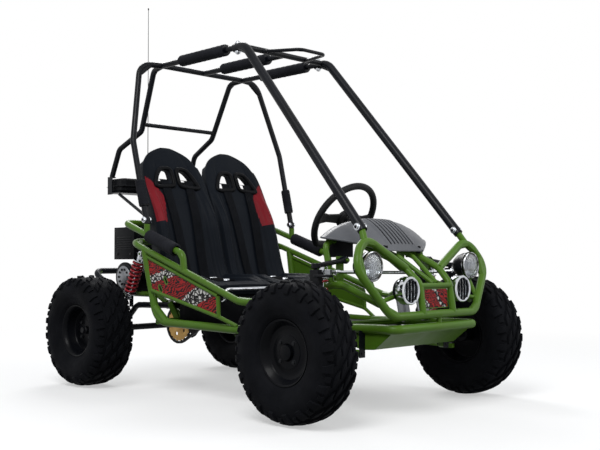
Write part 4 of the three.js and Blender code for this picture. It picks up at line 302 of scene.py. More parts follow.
class Part:
    def __init__(self):
        self.verts = []
        self.faces = []
        self.slots = []

    def add(self, verts, faces, slot=0):
        base = len(self.verts)
        self.verts += [Vector(v) for v in verts]
        self.faces += [[base + i for i in face] for face in faces]
        self.slots += [slot] * len(faces)
        return self

    def loft(self, rows):
        """A closed form through rows of equally many points."""
        verts = [p for row in rows for p in row]
        rings, count = len(rows), len(rows[0])
        return self.add(verts, grid(rings, count) + end_caps(rings, count))

    def sweep(self, stations, radius, sides=16, slot=0, closed=False, squash=1.0):
        """A round bar along stations. Its radius is one number, or a list of one for each station."""
        count = len(stations)
        verts = []
        side = None
        for k in range(count):
            before, after = stations[k - 1], stations[(k + 1) % count]
            if not closed and k == 0:
                before = stations[0] * 2 - stations[1]
            if not closed and k == count - 1:
                after = stations[-1] * 2 - stations[-2]
            along = ((after - stations[k]).normalized() + (stations[k] - before).normalized()).normalized()
            side = frame_for(along)[0] if side is None else (side - along * side.dot(along)).normalized()
            other = along.cross(side)
            r = radius[k] if isinstance(radius, list) else radius
            for j in range(sides):
                angle = 2 * pi * j / sides
                verts.append(stations[k] + side * r * cos(angle) + other * r * squash * sin(angle))
        caps = [] if closed else end_caps(count, sides)
        return self.add(verts, grid(count, sides, closed) + caps, slot)

    def tube(self, points, radius, bend=70, sides=16, slot=0):
        return self.sweep(round_corners(points, bend), radius, sides, slot)

    def lathe(self, profile, centre, direction, segments=40, slot=0, closed=False):
        """A turned form. Each point of its profile is a radius and a reach along the direction."""
        side, other = frame_for(direction)
        along = Vector(direction).normalized()
        centre = Vector(centre)
        verts = []
        for radius, reach in profile:
            for j in range(segments):
                angle = 2 * pi * j / segments
                spoke = side * cos(angle) + other * sin(angle)
                verts.append(centre + along * reach + spoke * max(radius, 0))
        return self.add(verts, grid(len(profile), segments, closed), slot)

    def rod(self, start, end, radius, sides=24, slot=0, edge=1.0):
        start, end = Vector(start), Vector(end)
        length = (end - start).length
        edge = min(edge, radius * 0.4, length * 0.3)
        near, chamfer = edge * 0.3, radius - edge * 0.3
        profile = [(0, 0), (radius - edge, 0), (chamfer, near), (radius, edge), (radius, length - edge),
                   (chamfer, length - near), (radius - edge, length), (0, length)]
        return self.lathe(profile, start, end - start, sides, slot)

    def hexagon(self, start, end, radius, slot=0):
        return self.rod(start, end, radius, 6, slot, edge=0.6)

    def box(self, size, centre, turn=Matrix.Identity(3), slot=0, taper=1.0):
        w, d, h = (v / 2 for v in size)
        corners = [(-w, -d, -h), (w, -d, -h), (w, d, -h), (-w, d, -h)]
        corners += [(x * taper, y * taper, -z) for x, y, z in corners]
        verts = [turn @ Vector(c) + Vector(centre) for c in corners]
        faces = [(3, 2, 1, 0), (4, 5, 6, 7), (0, 1, 5, 4), (1, 2, 6, 5), (2, 3, 7, 6), (3, 0, 4, 7)]
        return self.add(verts, faces, slot)

    def plate(self, loops, thickness, matrix):
        """A flat plate from 2D loops, the first its outline and the rest holes."""
        flat = [[Vector((x, y, 0)) for x, y in loop] for loop in loops]
        points = [p for loop in flat for p in loop]
        caps = geometry.tessellate_polygon(flat)
        count = len(points)
        verts = [matrix @ Vector((p.x, p.y, z)) for z in (-thickness / 2, thickness / 2) for p in points]
        faces = [tuple(f) for f in caps] + [tuple(count + i for i in f)[::-1] for f in caps]
        base = 0
        for loop in flat:
            n = len(loop)
            for k in range(n):
                a, b = base + k, base + (k + 1) % n
                faces.append((a, b, count + b, count + a))
            base += n
        return self.add(verts, faces)

    def build(self, name, finishes, body="chassis", bevel=0.0, sharp=38, slot_name=None, stands_for=None):
        mesh = bpy.data.meshes.new(name)
        mesh.from_pydata([tuple(v * MM) for v in self.verts], [], self.faces)
        made = bpy.data.objects.new(name, mesh)
        bpy.context.scene.collection.objects.link(made)
        finishes = [finishes] if isinstance(finishes, str) else finishes
        for finish in finishes:
            mesh.materials.append(FINISH[finish])
        for polygon, slot in zip(mesh.polygons, self.slots):
            polygon.material_index = slot
        tidy_mesh(mesh)
        if bevel:
            modifier = made.modifiers.new("edges", "BEVEL")
            modifier.width = bevel * MM
            modifier.segments = 2
            modifier.limit_method = "ANGLE"
            modifier.angle_limit = radians(sharp)
            apply_modifiers(made)
        shade(made.data, sharp)
        if body:
            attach(made, body)
        if stands_for:
            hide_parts(stands_for)
        return made


WELD, SHORTEST_EDGE = 2e-5, 1e-6


def tidy_mesh(mesh):
    bm = bmesh.new()
    bm.from_mesh(mesh)
    bmesh.ops.remove_doubles(bm, verts=bm.verts, dist=WELD)
    bmesh.ops.dissolve_degenerate(bm, edges=bm.edges, dist=SHORTEST_EDGE)
    bmesh.ops.recalc_face_normals(bm, faces=bm.faces)
    bm.to_mesh(mesh)
    bm.free()


def shade(mesh, sharp):
    mesh.shade_smooth()
    mesh.set_sharp_from_angle(angle=radians(sharp))


def apply_modifiers(obj):
    graph = bpy.context.evaluated_depsgraph_get()
    graph.update()
    mesh = bpy.data.meshes.new_from_object(obj.evaluated_get(graph))
    obj.modifiers.clear()
    obj.data = mesh


def cut_out(target, part, finish):
    """Cuts holes in the shape of a part, whose finish is the target's own."""
    cutter = part.build("cutter", finish, None, slot_name=False)
    modifier = target.modifiers.new("holes", "BOOLEAN")
    modifier.object = cutter
    modifier.operation = "DIFFERENCE"
    modifier.solver = "EXACT"
    apply_modifiers(target)
    bpy.data.objects.remove(cutter)


def skin(node, finish, voxel=1.4, smooth=8, keep=0.35, sharp=60):
    """A dense, rounded copy of a coarse solid. It stands for the solid and rides with it."""
    made = bpy.data.objects.new("skin_" + node, frame["nodes"][node].data.copy())
    bpy.context.scene.collection.objects.link(made)
    remesh = made.modifiers.new("dense", "REMESH")
    remesh.mode = "VOXEL"
    remesh.voxel_size = voxel * MM
    soften = made.modifiers.new("soften", "SMOOTH")
    soften.factor = 0.5
    soften.iterations = smooth
    made.modifiers.new("thin", "DECIMATE").ratio = keep
    apply_modifiers(made)
    made.data.materials.clear()
    made.data.materials.append(FINISH[finish])
    shade(made.data, sharp)
    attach(made, BODY_OF[node])
    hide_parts(node)


def paint(node, finish):
    mesh = frame["nodes"][node].data
    mesh.materials.clear()
    mesh.materials.append(FINISH[finish])
    shade(mesh, 36)


def spot(place, hand=1):
    x, y, z = place
    return Vector((hand * x, y, z))


def mirrored(points, middle=()):
    """Points of one side, those in the middle, then the same of the other side in reverse."""
    return [spot(p) for p in [*points, *middle]] + [spot(p, -1) for p in reversed(points)]


def upright(x):
    """Places a flat plate along y and z, at x."""
    return Matrix(((0, 0, 1, x), (1, 0, 0, 0), (0, 1, 0, 0), (0, 0, 0, 1)))


# The frame's tubes
SIDE_X = 366
RAIL_REAR = (335, 545)
RAIL_KINK = (-283, 337)
ARM_REAR = (374, 615)
ARM_FRONT = (27, 497)
POST_X, POST_Y, POST_TOP, CRADLE_Z = 215, 374, 615, 345
RAIL, LOWER, SMALL, CROSS = 11, 14, 6.5, 10
PILLAR, CAGE_TUBE, CAGE_BAR = 15, 10.5, 8
RAIL_BEND, CAGE_BEND, NOSE_BEND, TIGHT_BEND = 70, 60, 58, 30


def height_on(line, y):
    (y0, z0), (y1, z1) = line
    return z0 + (z0 - z1) / (y0 - y1) * (y - y0)


def on_side(y, z=None, line=None):
    """A place in the plane of the side panel, with its height given or read from a rail."""
    return (SIDE_X, y, height_on(line, y) if line else z)


UPPER_RAIL, ARM_RAIL = (RAIL_REAR, RAIL_KINK), (ARM_REAR, ARM_FRONT)
# Points, radius and bend of the tubes that each side has
SIDE_TUBES = (
    ([(POST_X, POST_Y, 545), on_side(*RAIL_REAR), on_side(*RAIL_KINK), (258, -430, 374), (234, -580, 403),
      (234, -738, 345)], RAIL, RAIL_BEND),
    ([on_side(246, line=UPPER_RAIL), (350, 192, 258), (340, -224, 250), (206, -470, 264), (202, -700, 269)],
     LOWER, RAIL_BEND),
    ([(POST_X, POST_Y, POST_TOP), on_side(*ARM_REAR), on_side(*ARM_FRONT), on_side(18, line=UPPER_RAIL)],
     RAIL, TIGHT_BEND),
    ([on_side(234, 489), on_side(-160, 358)], SMALL, RAIL_BEND),
    ([on_side(202, 369), on_side(-165, 290), (343, -228, 261)], SMALL, RAIL_BEND),
    ([on_side(-160, 358), on_side(-165, 290)], SMALL, RAIL_BEND),
    ([on_side(234, line=ARM_RAIL), on_side(234, 606)], CAGE_TUBE, RAIL_BEND),
    ([(86, -531, 528), (84, -650, 483), (86, -718, 449), (76, -764, 404), (77, -778, 312)],
     CAGE_TUBE, TIGHT_BEND),
    ([(38, -531, 531), (37, -655, 484), (10, -764, 403)], 7, TIGHT_BEND),
    ([(259, -703, 528), (246, -680, 566)], CAGE_TUBE, RAIL_BEND),
    ([(POST_X, 192, 258), (POST_X, POST_Y, CRADLE_Z), (POST_X, 716, CRADLE_Z)], CROSS, TIGHT_BEND),
    ([(POST_X, POST_Y, CRADLE_Z), (POST_X, POST_Y, POST_TOP)], CROSS, RAIL_BEND),
)
# The same for tubes that run across, by their +X half, with the place in the middle of some
NOSE_BAR, NOSE_LOW = (0, -780, 309), (0, -779, 270)
ACROSS_TUBES = (
    ([(86, -718, 449), (266, -698, 548), (330, -729, 452), (214, -766, 307)], [NOSE_BAR], 12.5, NOSE_BEND),
    ([(202, -700.3, 269), (204, -774, 269)], [NOSE_LOW], LOWER, TIGHT_BEND),
    ([(76, -768, 396)], [], CAGE_BAR, RAIL_BEND),
    ([(252, -749, 350), (105, -716, 372)], [], SMALL, TIGHT_BEND),
    ([(350, 192, 258)], [], CROSS, RAIL_BEND),
    ([(340, -224, 236)], [], CROSS, RAIL_BEND),
    ([(206, -470, 264)], [], CROSS, RAIL_BEND),
    ([(POST_X, POST_Y, 545)], [], CROSS, RAIL_BEND),
    ([(POST_X, POST_Y, POST_TOP)], [], CROSS, RAIL_BEND),
    ([(POST_X, 716, CRADLE_Z)], [], CROSS, RAIL_BEND),
    ([(POST_X, 620, CRADLE_Z)], [], CROSS, RAIL_BEND),
    ([(POST_X, 505, CRADLE_Z)], [], CROSS, RAIL_BEND),
    ([(238, -548, 405), (238, -520, 536)], [], 9.5, 34),
)
BUMPER = [(POST_X, 668, CRADLE_Z), (236, 781, 432)]


def build_frame():
    part = Part()
    for points, radius, bend in SIDE_TUBES:
        for hand, _ in HANDS:
            part.tube([spot(p, hand) for p in points], radius + PROUD, bend)
    for points, middle, radius, bend in ACROSS_TUBES:
        part.tube(mirrored(points, middle), radius + PROUD, bend)
    part.tube([NOSE_BAR, NOSE_LOW], CAGE_BAR + PROUD)
    part.build("frame_tubes", "frame_green")
    Part().tube(mirrored(BUMPER), 12 + PROUD, TIGHT_BEND).build("rear_bumper", "cage_black")
    paint("main_frame", "frame_green")
    mesh = frame["nodes"]["main_frame"].data
    mesh.materials.append(FINISH["cage_black"])
    for polygon in mesh.polygons:
        middle = polygon.center / MM
        # The tank rack is really black. The arm tabs under the nose are green steel, painted black here as
        # painted shade because they sit in shadow
        tank_rack = middle.y > 400 and middle.z > 640
        arm_tab_shade = middle.y < -440 and middle.z < 240 and abs(middle.x) > 190
        if tank_rack or arm_tab_shade:
            polygon.material_index = 1


# Roll cage with its foam sleeves and bolts
A_PILLAR = [(246, -684, 562), (210, -118, 1221), (205, -60, 1220)]
B_PILLAR = [(365.5, 234, 606), (372, 313, 914), (298, 378, 1219), (205, 363, 1222)]
STAY = [(205, 363, 1222), (196, 428, 1214), (181, 530, 988), (194, 664, 926), (201, 706, 816)]
ROOF_X, ROOF_Z, ROOF_REAR, ROOF_FRONT = 205, 1222, 363, -96
ROOF_RAIL = [(ROOF_X, -60, ROOF_Z), (ROOF_X, ROOF_REAR, ROOF_Z)]
# Points, radius, bend and sides of the cage's tubes on each side
CAGE_SIDE = (
    (A_PILLAR, PILLAR, CAGE_BEND, 24),
    (B_PILLAR, CAGE_TUBE, CAGE_BEND, 20),
    (STAY, CAGE_TUBE, TIGHT_BEND, 20),
    (ROOF_RAIL, CROSS, RAIL_BEND, 16),
)
VISOR_HALF = [(110, ROOF_FRONT, ROOF_Z - 4), (62, -244, ROOF_Z - 12)]
ROOF_FOAM_Y, ROOF_FOAM_R = (-14, 242), 20.5
PILLAR_FOAM_Z, PILLAR_FOAM_R = (672, 766), 17.5
ARM_FOAM_Y, ARM_FOAM_R = (64, 222), 23
FOAM_STEPS = 28


def foam_sleeve(name, start, end, radius, stands_for=None):
    length = (end - start).length
    profile = [(radius * 0.72, 0), (radius * 0.93, 1.5)]
    for k in range(FOAM_STEPS + 1):
        reach = 4 + (length - 8) * k / FOAM_STEPS
        swell = 0.35 * sin(k * 1.9) + 0.25 * sin(k * 3.7)
        profile.append((radius + swell, reach))
    profile += [(radius * 0.93, length - 1.5), (radius * 0.72, length)]
    part = Part().lathe(profile, start, end - start, 32)
    made = part.build(name, "foam", sharp=50, stands_for=stands_for)


def cage_bolts(low, rise):
    bolts = Part()
    foot = Vector(A_PILLAR[0])
    up = (Vector(A_PILLAR[1]) - foot).normalized()
    places = [(foot + up * 16, X, PILLAR), (low + rise.normalized() * 16, X, CAGE_TUBE),
              (Vector((ROOF_X, -76, 1220)), Z, PILLAR)]
    for hand, _ in HANDS:
        for place, axis, half in places:
            centre = spot(place, hand)
            for out in (axis, -axis):
                bolts.rod(centre + out * (half - 2), centre + out * (half + 2.4), 11.5, 28)
                bolts.hexagon(centre + out * (half + 1), centre + out * (half + 7), 8.6)
                bolts.rod(centre + out * (half + 5), centre + out * (half + 8.4), 5, 16, 1)
    bolts.build("cage_bolts", ["chrome", "dark_steel"], sharp=30)


def build_cage():
    part = Part()
    for points, radius, bend, sides in CAGE_SIDE:
        for hand, _ in HANDS:
            part.tube([spot(p, hand) for p in points], radius + PROUD, bend, sides)
    part.tube(mirrored([(182, 518, 1015)]), CAGE_BAR + PROUD)
    part.tube([(0, ROOF_FRONT, ROOF_Z), (0, ROOF_REAR, ROOF_Z)], CROSS + PROUD)
    for y in (ROOF_REAR, ROOF_FRONT):
        part.tube(mirrored([(ROOF_X, y, ROOF_Z)]), CROSS + PROUD)
    part.tube(mirrored(VISOR_HALF), 6 + PROUD, TIGHT_BEND)
    part.build("cage_tubes", "cage_black")
    paint("roll_cage", "cage_black")
    low = Vector(B_PILLAR[0])
    rise = (Vector(B_PILLAR[1]) - low) / (B_PILLAR[1][2] - B_PILLAR[0][2])
    for name, x in (("left", ROOF_X), ("middle", 0), ("right", -ROOF_X)):
        start, end = [Vector((x, y, ROOF_Z)) for y in ROOF_FOAM_Y]
        foam_sleeve("roof_sleeve_" + name, start, end, ROOF_FOAM_R + PROUD)
    for hand, label in HANDS:
        start, end = [spot(low + rise * (z - B_PILLAR[0][2]), hand) for z in PILLAR_FOAM_Z]
        foam_sleeve("pillar_sleeve_" + label, start, end, PILLAR_FOAM_R + PROUD)
        start, end = [spot(on_side(y, line=ARM_RAIL), hand) for y in ARM_FOAM_Y]
        foam_sleeve("armrest_sleeve_" + label, start, end, ARM_FOAM_R, "armrest_pad_" + label)
    cage_bolts(low, rise)


# Tyres: a rounded carcass with knobs that follow it
TYRE_R, TYRE_BEAD, LUG, LUG_COUNT = 210, 96, 9, 20
TYRE_STEPS = 72
# Share of the radial reach and share of the width, from the bead outwards
TYRE_SIDE = [(0, 0.29), (0.05, 0.35), (0.2, 0.42), (0.48, 0.475), (0.72, 0.452), (0.9, 0.388)]
TYRE_TOP = [(3.5, 0.285), (0.8, 0.15), (0, 0)]
TYRE_RIBS = (0.1, 0.155, 0.9, 0.845)
# Turn in the pitch, edges across, lengths at both edges, skew, height and cuts of each knob
KNOBS = (
    (0, (0.445, 0.494), (0.52, 0.44), 0.42, LUG - 0.3, 3),
    (0.42, (0.375, 0.43), (0.5, 0.46), 0.4, LUG - 0.6, 3),
    (0.02, (0.245, 0.358), (0.34, 0.46), 0.12, LUG * 0.8, 4),
    (0.5, (0.285, 0.348), (0.26, 0.3), 0, LUG * 0.6, 3),
)
KNOB_ROOT, KNOB_SHRINK = -2, 0.16


class TyreProfile:
    def __init__(self, width):
        body = TYRE_R - LUG
        reach = body - TYRE_BEAD
        half = [(TYRE_BEAD + reach * rise, share) for rise, share in TYRE_SIDE]
        half += [(body - drop, share) for drop, share in TYRE_TOP]
        knots = [Vector((r, share * width)) for r, share in half]
        knots += [Vector((k.x, -k.y)) for k in reversed(knots[:-1])]
        self.knots = knots

    def at(self, t):
        """Place and outward normal at t, from 0 at one bead to 1 at the other."""
        knots = self.knots
        span = t * (len(knots) - 1)
        k = min(int(span), len(knots) - 2)
        s = span - k
        p0, p1 = knots[max(k - 1, 0)], knots[k]
        p2, p3 = knots[k + 1], knots[min(k + 2, len(knots) - 1)]
        square, cube = 2 * p0 - 5 * p1 + 4 * p2 - p3, 3 * p1 - p0 - 3 * p2 + p3
        place = 0.5 * ((2 * p1) + (p2 - p0) * s + square * s * s + cube * s ** 3)
        slope = 0.5 * ((p2 - p0) + 2 * square * s + 3 * cube * s * s)
        return place, Vector((-slope.y, slope.x)).normalized()


def build_tyre(name, width, centre, body, node):
    profile = TyreProfile(width)
    ring = []
    for k in range(TYRE_STEPS + 1):
        t = k / TYRE_STEPS
        place, normal = profile.at(t)
        ridge = sum(1.1 * exp(-((t - where) / 0.007) ** 2) for where in TYRE_RIBS)
        ring.append((place.x + normal.x * ridge, place.y + normal.y * ridge))
    part = Part().lathe(ring, centre, X, 96, closed=True)

    def point(t, angle, lift):
        place, normal = profile.at(t)
        r, across = place.x + normal.x * lift, place.y + normal.y * lift
        return centre + Vector((across, r * cos(angle), r * sin(angle)))

    def knob(angle, edges, arc0, arc1, skew, lift, cuts):
        t0, t1 = edges
        verts = []
        for k in range(cuts + 1):
            share = k / cuts
            draw = KNOB_SHRINK * (t1 - t0) * (0.5 - share)
            arc = arc0 + (arc1 - arc0) * share
            top_half = arc * (0.5 - KNOB_SHRINK / 2)
            mid = angle + skew * (share - 0.5)
            t = t0 + (t1 - t0) * share
            drop = 0.12 * lift if k in (0, cuts) else 0
            top = lift - drop
            verts += [point(t, mid - arc / 2, KNOB_ROOT), point(t, mid + arc / 2, KNOB_ROOT),
                      point(t + draw, mid + top_half, top), point(t + draw, mid - top_half, top)]
        part.add(verts, grid(cuts + 1, 4) + [(0, 3, 2, 1), tuple(cuts * 4 + j for j in range(4))])

    pitch = 2 * pi / LUG_COUNT
    for k in range(LUG_COUNT):
        for way in (1, -1):
            start = k * pitch + (pitch / 2 if way < 0 else 0)
            for turn, edges, arcs, skew, lift, cuts in KNOBS:
                t0, t1 = edges if way > 0 else (1 - edges[0], 1 - edges[1])
                knob(start + pitch * turn, (t0, t1), pitch * arcs[0], pitch * arcs[1],
                     way * pitch * skew, lift, cuts)
    part.build(name, "tyre_rubber", body, sharp=32, stands_for=node)


# Rims
RIM_SEAT, RIM_LIP, RIM_R = 95, 6, 92
BOLT_COUNT, BOLT_RING = 4, 38
FRONT_WHEEL, FRONT_RIM, FRONT_DISH, FRONT_BORE, FRONT_TYRE = (431.5, -580.5, 210), 96, 22, 9.8, 138
REAR_WHEEL, REAR_RIM, REAR_DISH, REAR_BORE, REAR_TYRE = (386.5, 580.5, 210), 113, 46.5, 12.8, 168


def rim_profile(width, dish, bore):
    w = width / 2
    lip = RIM_R + RIM_LIP
    inside = RIM_SEAT - 9.5
    face = w - dish
    return [
        (bore, face - 6), (inside - 34, face - 6), (inside - 26, face - 9), (inside - 10, face - 9),
        (inside - 4, face - 12), (inside, -w + 18), (inside + 3, -w + 10), (RIM_SEAT - 3, -w + 2),
        (RIM_SEAT - 1, -w + 0.4), (lip - 1, -w), (lip, -w + 1.5), (lip - 0.6, -w + 3), (RIM_SEAT, -w + 6),
        (inside + 4, -w + 22), (inside + 3, w - 24), (RIM_SEAT, w - 7), (RIM_SEAT + 1, w - 4),
        (lip - 0.6, w - 3), (lip, w - 1.5), (lip - 1, w), (RIM_SEAT - 1, w - 0.4), (RIM_SEAT - 4, w - 3),
        (inside + 1, w - 10), (inside - 2, w - 18 if dish > 30 else w - 13), (inside - 5, face + 3),
        (inside - 8, face - 1), (inside - 16, face - 3), (inside - 26, face - 3), (inside - 34, face),
        (bore, face),
    ]


def build_rim(part, end, label, place, face, bolt, body):
    """Adds the wheel bolts to a rim. A bolt is its washer's foot, its height and its radius."""
    sink, height, radius = bolt
    centre, out = place
    for k in range(BOLT_COUNT):
        angle = (k + 0.5) * 2 * pi / BOLT_COUNT
        base = centre + out * face + Vector((0, cos(angle), sin(angle))) * BOLT_RING
        part.rod(base - out * sink, base + out * 2.6, 8.4, 24, 1)
        part.hexagon(base, base + out * height, radius, 1)
    part.build(f"rim_{end}_{label}", ["rim_black", "dark_steel"], body, sharp=34,
               stands_for=f"{end}_rim_{label}")


def build_rims():
    for hand, label in HANDS:
        out = X * hand
        centre = spot(FRONT_WHEEL, hand)
        part = Part().lathe(rim_profile(FRONT_RIM, FRONT_DISH, FRONT_BORE), centre, out, 64, closed=True)
        face = FRONT_RIM / 2 - FRONT_DISH
        hub = [(FRONT_BORE, -30), (22, -30), (24, -28), (24, face + 4), (22, face + 12), (17, face + 14),
               (0, face + 14)]
        part.lathe(hub, centre, out, 48)
        boss = [(50, face - 3), (50, face + 1.5), (47, face + 3), (26, face + 3), (24, face + 1)]
        part.lathe(boss, centre, out, 48)
        wheel = "front_wheel_" + label
        build_rim(part, "front", label, (centre, out), face + 1, (2, 6, 6), wheel)
        build_tyre("tyre_front_" + label, FRONT_TYRE, centre, wheel, "front_tyre_" + label)
        centre = spot(REAR_WHEEL, hand)
        part = Part().lathe(rim_profile(REAR_RIM, REAR_DISH, REAR_BORE), centre, out, 64, closed=True)
        build_rim(part, "rear", label, (centre, out), REAR_RIM / 2 - REAR_DISH, (1, 7, 6.4), "axle")
        build_tyre("tyre_rear_" + label, REAR_TYRE, centre, "axle", "rear_tyre_" + label)


# Seats, with u from the front edge of the cushion to the top of the back and s across
SEAT_HALF, SEAT_MID = 148.5, 151.5
SPINE = [(-52, 372), (90, 362), (222, 366), (252, 402), (328, 651), (424, 903)]
SPINE_STEPS = 400
LIFT_KNOTS = [(0, 0), (0.55, 0.16), (0.7, 0.62), (0.82, 1), (0.92, 0.82), (1, 0.35)]
SEAM_SHARE, SEAM_ROWS = 0.6, (0.3, 0.735)
SEAT_ROWS, SEAT_ACROSS, SEAT_BACK, CAP_RINGS = 150, 96, 20, 4
RED_LOW, RED_KINK, RED_HIGH = 600, 690, 780
CROWN_Z, CROWN_ROUNDS = 0.845, 30
HOLE_X, HOLE_Z, HOLE_U, HOLE_GROWTH, HOLE_RIM = 56, 790, 0.86, 1.1, 8
HOLE = [(-38, -19), (-4, 24), (12, 29), (30, 25), (33, 8), (33, -14), (22, -22), (-28, -26)]
CORNER_STEPS = 6
SEAT_BAR_HALF = [(100, -30, 334), (100, -66, 334), (100, -66, 374)]


def spine_at(u):
    points = [Vector((0, y, z)) for y, z in SPINE]
    span = u * (len(points) - 1)
    k = min(int(span), len(points) - 2)
    s = span - k
    p1, p2 = points[k], points[k + 1]
    p0 = points[k - 1] if k else p1 * 2 - p2
    p3 = points[k + 2] if k + 2 < len(points) else p2 * 2 - p1

    def stretch(a, b):
        return max((b - a).length, 1e-6) ** 0.5
    d0, d1, d2 = stretch(p0, p1), stretch(p1, p2), stretch(p2, p3)
    m1 = ((p1 - p0) / d0 - (p2 - p0) / (d0 + d1) + (p2 - p1) / d1) * d1
    m2 = ((p2 - p1) / d1 - (p3 - p1) / (d1 + d2) + (p3 - p2) / d2) * d1
    return p1 + m1 * s + (p1 * -3 + p2 * 3 - m1 * 2 - m2) * s * s + (p1 * 2 - p2 * 2 + m1 + m2) * s ** 3


def spine_table(count):
    """Share, place and direction at evenly spaced stations along the spine."""
    dense = [spine_at(k / SPINE_STEPS) for k in range(SPINE_STEPS + 1)]
    reach = [0]
    for a, b in zip(dense, dense[1:]):
        reach.append(reach[-1] + (b - a).length)
    rows = []
    for i in range(count + 1):
        want = reach[-1] * i / count
        k = min(max(int(np.searchsorted(reach, want)), 1), SPINE_STEPS)
        share = (want - reach[k - 1]) / max(reach[k] - reach[k - 1], 1e-9)
        along = (dense[k] - dense[k - 1]).normalized()
        rows.append((i / count, dense[k - 1].lerp(dense[k], share), along))
    return rows


def lift_at(s):
    s = abs(s)
    for (a, la), (b, lb) in zip(LIFT_KNOTS, LIFT_KNOTS[1:]):
        if s <= b:
            return la + (lb - la) * ease((s - a) / (b - a))
    return LIFT_KNOTS[-1][1]


def seat_station(u, along):
    normal = along.cross(X).normalized() * -1
    head = max(0, (u - 0.74) / 0.26)
    toe = max(0, 1 - u / 0.1)
    width = SEAT_HALF * max((1 - head ** 2.9) ** (1 / 2.9), 0.3) * (1 - 0.12 * toe ** 2)
    drawn = 1 - 0.45 * max(head, toe) ** 3
    thick = (58 - 12 * u) * drawn
    raised = 42 * max(0, sin(pi * min(1, u / 1.3))) ** 0.3 * (1 - toe) * (1 - head)
    raised *= 1 - 0.82 * ease((u - 0.6) / 0.24)
    return normal, width, drawn, thick, raised


def seat_surface(station, place, s):
    normal, width, drawn, thick, raised = station
    crown = 5 * (1 - abs(s)) * drawn
    seam = 2.2 * exp(-((abs(s) - SEAM_SHARE) / 0.014) ** 2)
    return Vector((s * width, 0, 0)) + normal * (thick / 2 + raised * lift_at(s) + crown - seam) + place


def seat_shares():
    """Places across the seat, closer together at its edges."""
    even = [2 * k / SEAT_ACROSS - 1 for k in range(SEAT_ACROSS + 1)]
    return [sin(pi / 2 * s) * 0.35 + s * 0.65 for s in even]


def in_red_patch(s, z):
    """The patch on the outer bolster narrows towards the shoulder."""
    edge = 0.5 + 0.46 * max(0, (z - RED_KINK) / 88) ** 2 + 0.1 * max(0, (RED_KINK - z) / 90)
    return edge < s < 0.97 and RED_LOW < z < RED_HIGH


def seat_shell(hand, mid):
    rows = spine_table(SEAT_ROWS)
    shares = seat_shares()
    ring = len(shares) + SEAT_BACK + 1
    part = Part()
    verts, slots = part.verts, part.slots
    for u, place, along in rows:
        station = seat_station(u, along)
        normal, width, _, thick, _ = station
        seam_row = sum(2.0 * exp(-((u - at) / 0.006) ** 2) for at in SEAM_ROWS)
        for s in shares:
            point = seat_surface(station, place, s)
            if abs(s) < 0.62:
                point -= normal * seam_row
            verts.append(point + Vector((mid, 0, 0)))
        for k in range(SEAT_BACK + 1):
            s = 1 - 2 * k / SEAT_BACK
            bulge = (1 - abs(s) ** 6) ** 0.5
            scoop = 1.3 * bulge ** 2 * exp(-((u - HOLE_U) / 0.075) ** 4)
            depth = thick / 2 * (0.25 + 0.75 * bulge - scoop)
            verts.append(Vector((mid + s * width * 0.985, 0, 0)) + place - normal * depth)
    for _, place, _ in rows[:-1]:
        for a, b in zip(shares, shares[1:]):
            slots.append(1 if in_red_patch((a + b) / 2 * hand, place.z) else 0)
        slots += [0] * (SEAT_BACK + 2)
    cap = verts[-ring:]
    middle = sum(cap, Vector()) / ring
    rise = rows[-1][2]
    for k in range(1, CAP_RINGS + 1):
        angle = k / CAP_RINGS * pi / 2
        verts += [middle + (p - middle) * max(cos(angle), 0.2) + rise * 10 * sin(angle) for p in cap]
    rings = len(rows) + CAP_RINGS
    part.faces = grid(rings, ring) + end_caps(rings, ring)
    slots += [0] * (len(part.faces) - len(slots))
    return part


def soften_crown(seat):
    crown = seat.vertex_groups.new(name="crown")
    crown.add([v.index for v in seat.data.vertices if v.co.z > CROWN_Z], 1.0, "REPLACE")
    smooth = seat.modifiers.new("crown", "SMOOTH")
    smooth.vertex_group = "crown"
    smooth.factor = 0.5
    smooth.iterations = CROWN_ROUNDS
    apply_modifiers(seat)


def build_bezels(seat, label, paths):
    """Rims around the harness holes, on the front and the back of the seat."""
    bm = bmesh.new()
    bm.from_mesh(seat.data)
    tree = BVHTree.FromBMesh(bm)
    bm.free()
    bezels = Part()
    for path in paths:
        for side in (-1, 1):
            stations = []
            for x, z in path:
                start = Vector((x, 200 if side < 0 else 620, z)) * MM
                hit = tree.ray_cast(start, Vector((0, -side, 0)))[0]
                y = hit.y / MM if hit else 380
                stations.append(Vector((x, y + side * 1.0, z)))
            bezels.sweep(stations, 9, 12, closed=True)
    bezels.build("harness_bezels_" + label, "cover_black", sharp=50, slot_name="vinyl")


def build_seats():
    for hand, label in HANDS:
        mid = hand * SEAT_MID
        seat = seat_shell(hand, mid).build("seat_pad_" + label, ["vinyl", "vinyl_red"], None, sharp=60)
        cutters = Part()
        paths = []
        for way in (-1, 1):
            sized = [(x * HOLE_GROWTH, y * HOLE_GROWTH) for x, y in HOLE]
            hole = softened([(-way * x, y) for x, y in sized])
            grown = softened([(-way * (x + copysign(HOLE_RIM, x)), y + copysign(HOLE_RIM, y))
                              for x, y in sized])
            x = mid + way * HOLE_X
            facing = Matrix(((1, 0, 0, x), (0, 0, 1, 380), (0, 1, 0, HOLE_Z), (0, 0, 0, 1)))
            cutters.plate([hole], 260, facing)
            paths.append([(x + a, HOLE_Z + b) for a, b in grown])
        cut_out(seat, cutters, "vinyl")
        soften_crown(seat)
        shade(seat.data, 50)
        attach(seat, "chassis")
        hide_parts("seat_" + label)
        build_bezels(seat, label, paths)
        lower = Part().box((236, 208, 101), (mid, 64, 300.8))
        lower.build("seat_box_" + label, "cover_black", bevel=4, slot_name="vinyl",
                    stands_for="seat_" + label)
        bar = Part().tube([p + X * mid for p in mirrored(SEAT_BAR_HALF)], 7, 14)
        bar.build("seat_bar_" + label, "chrome", slot_name="vinyl", stands_for="seat_" + label)
        build_harness(label, mid)


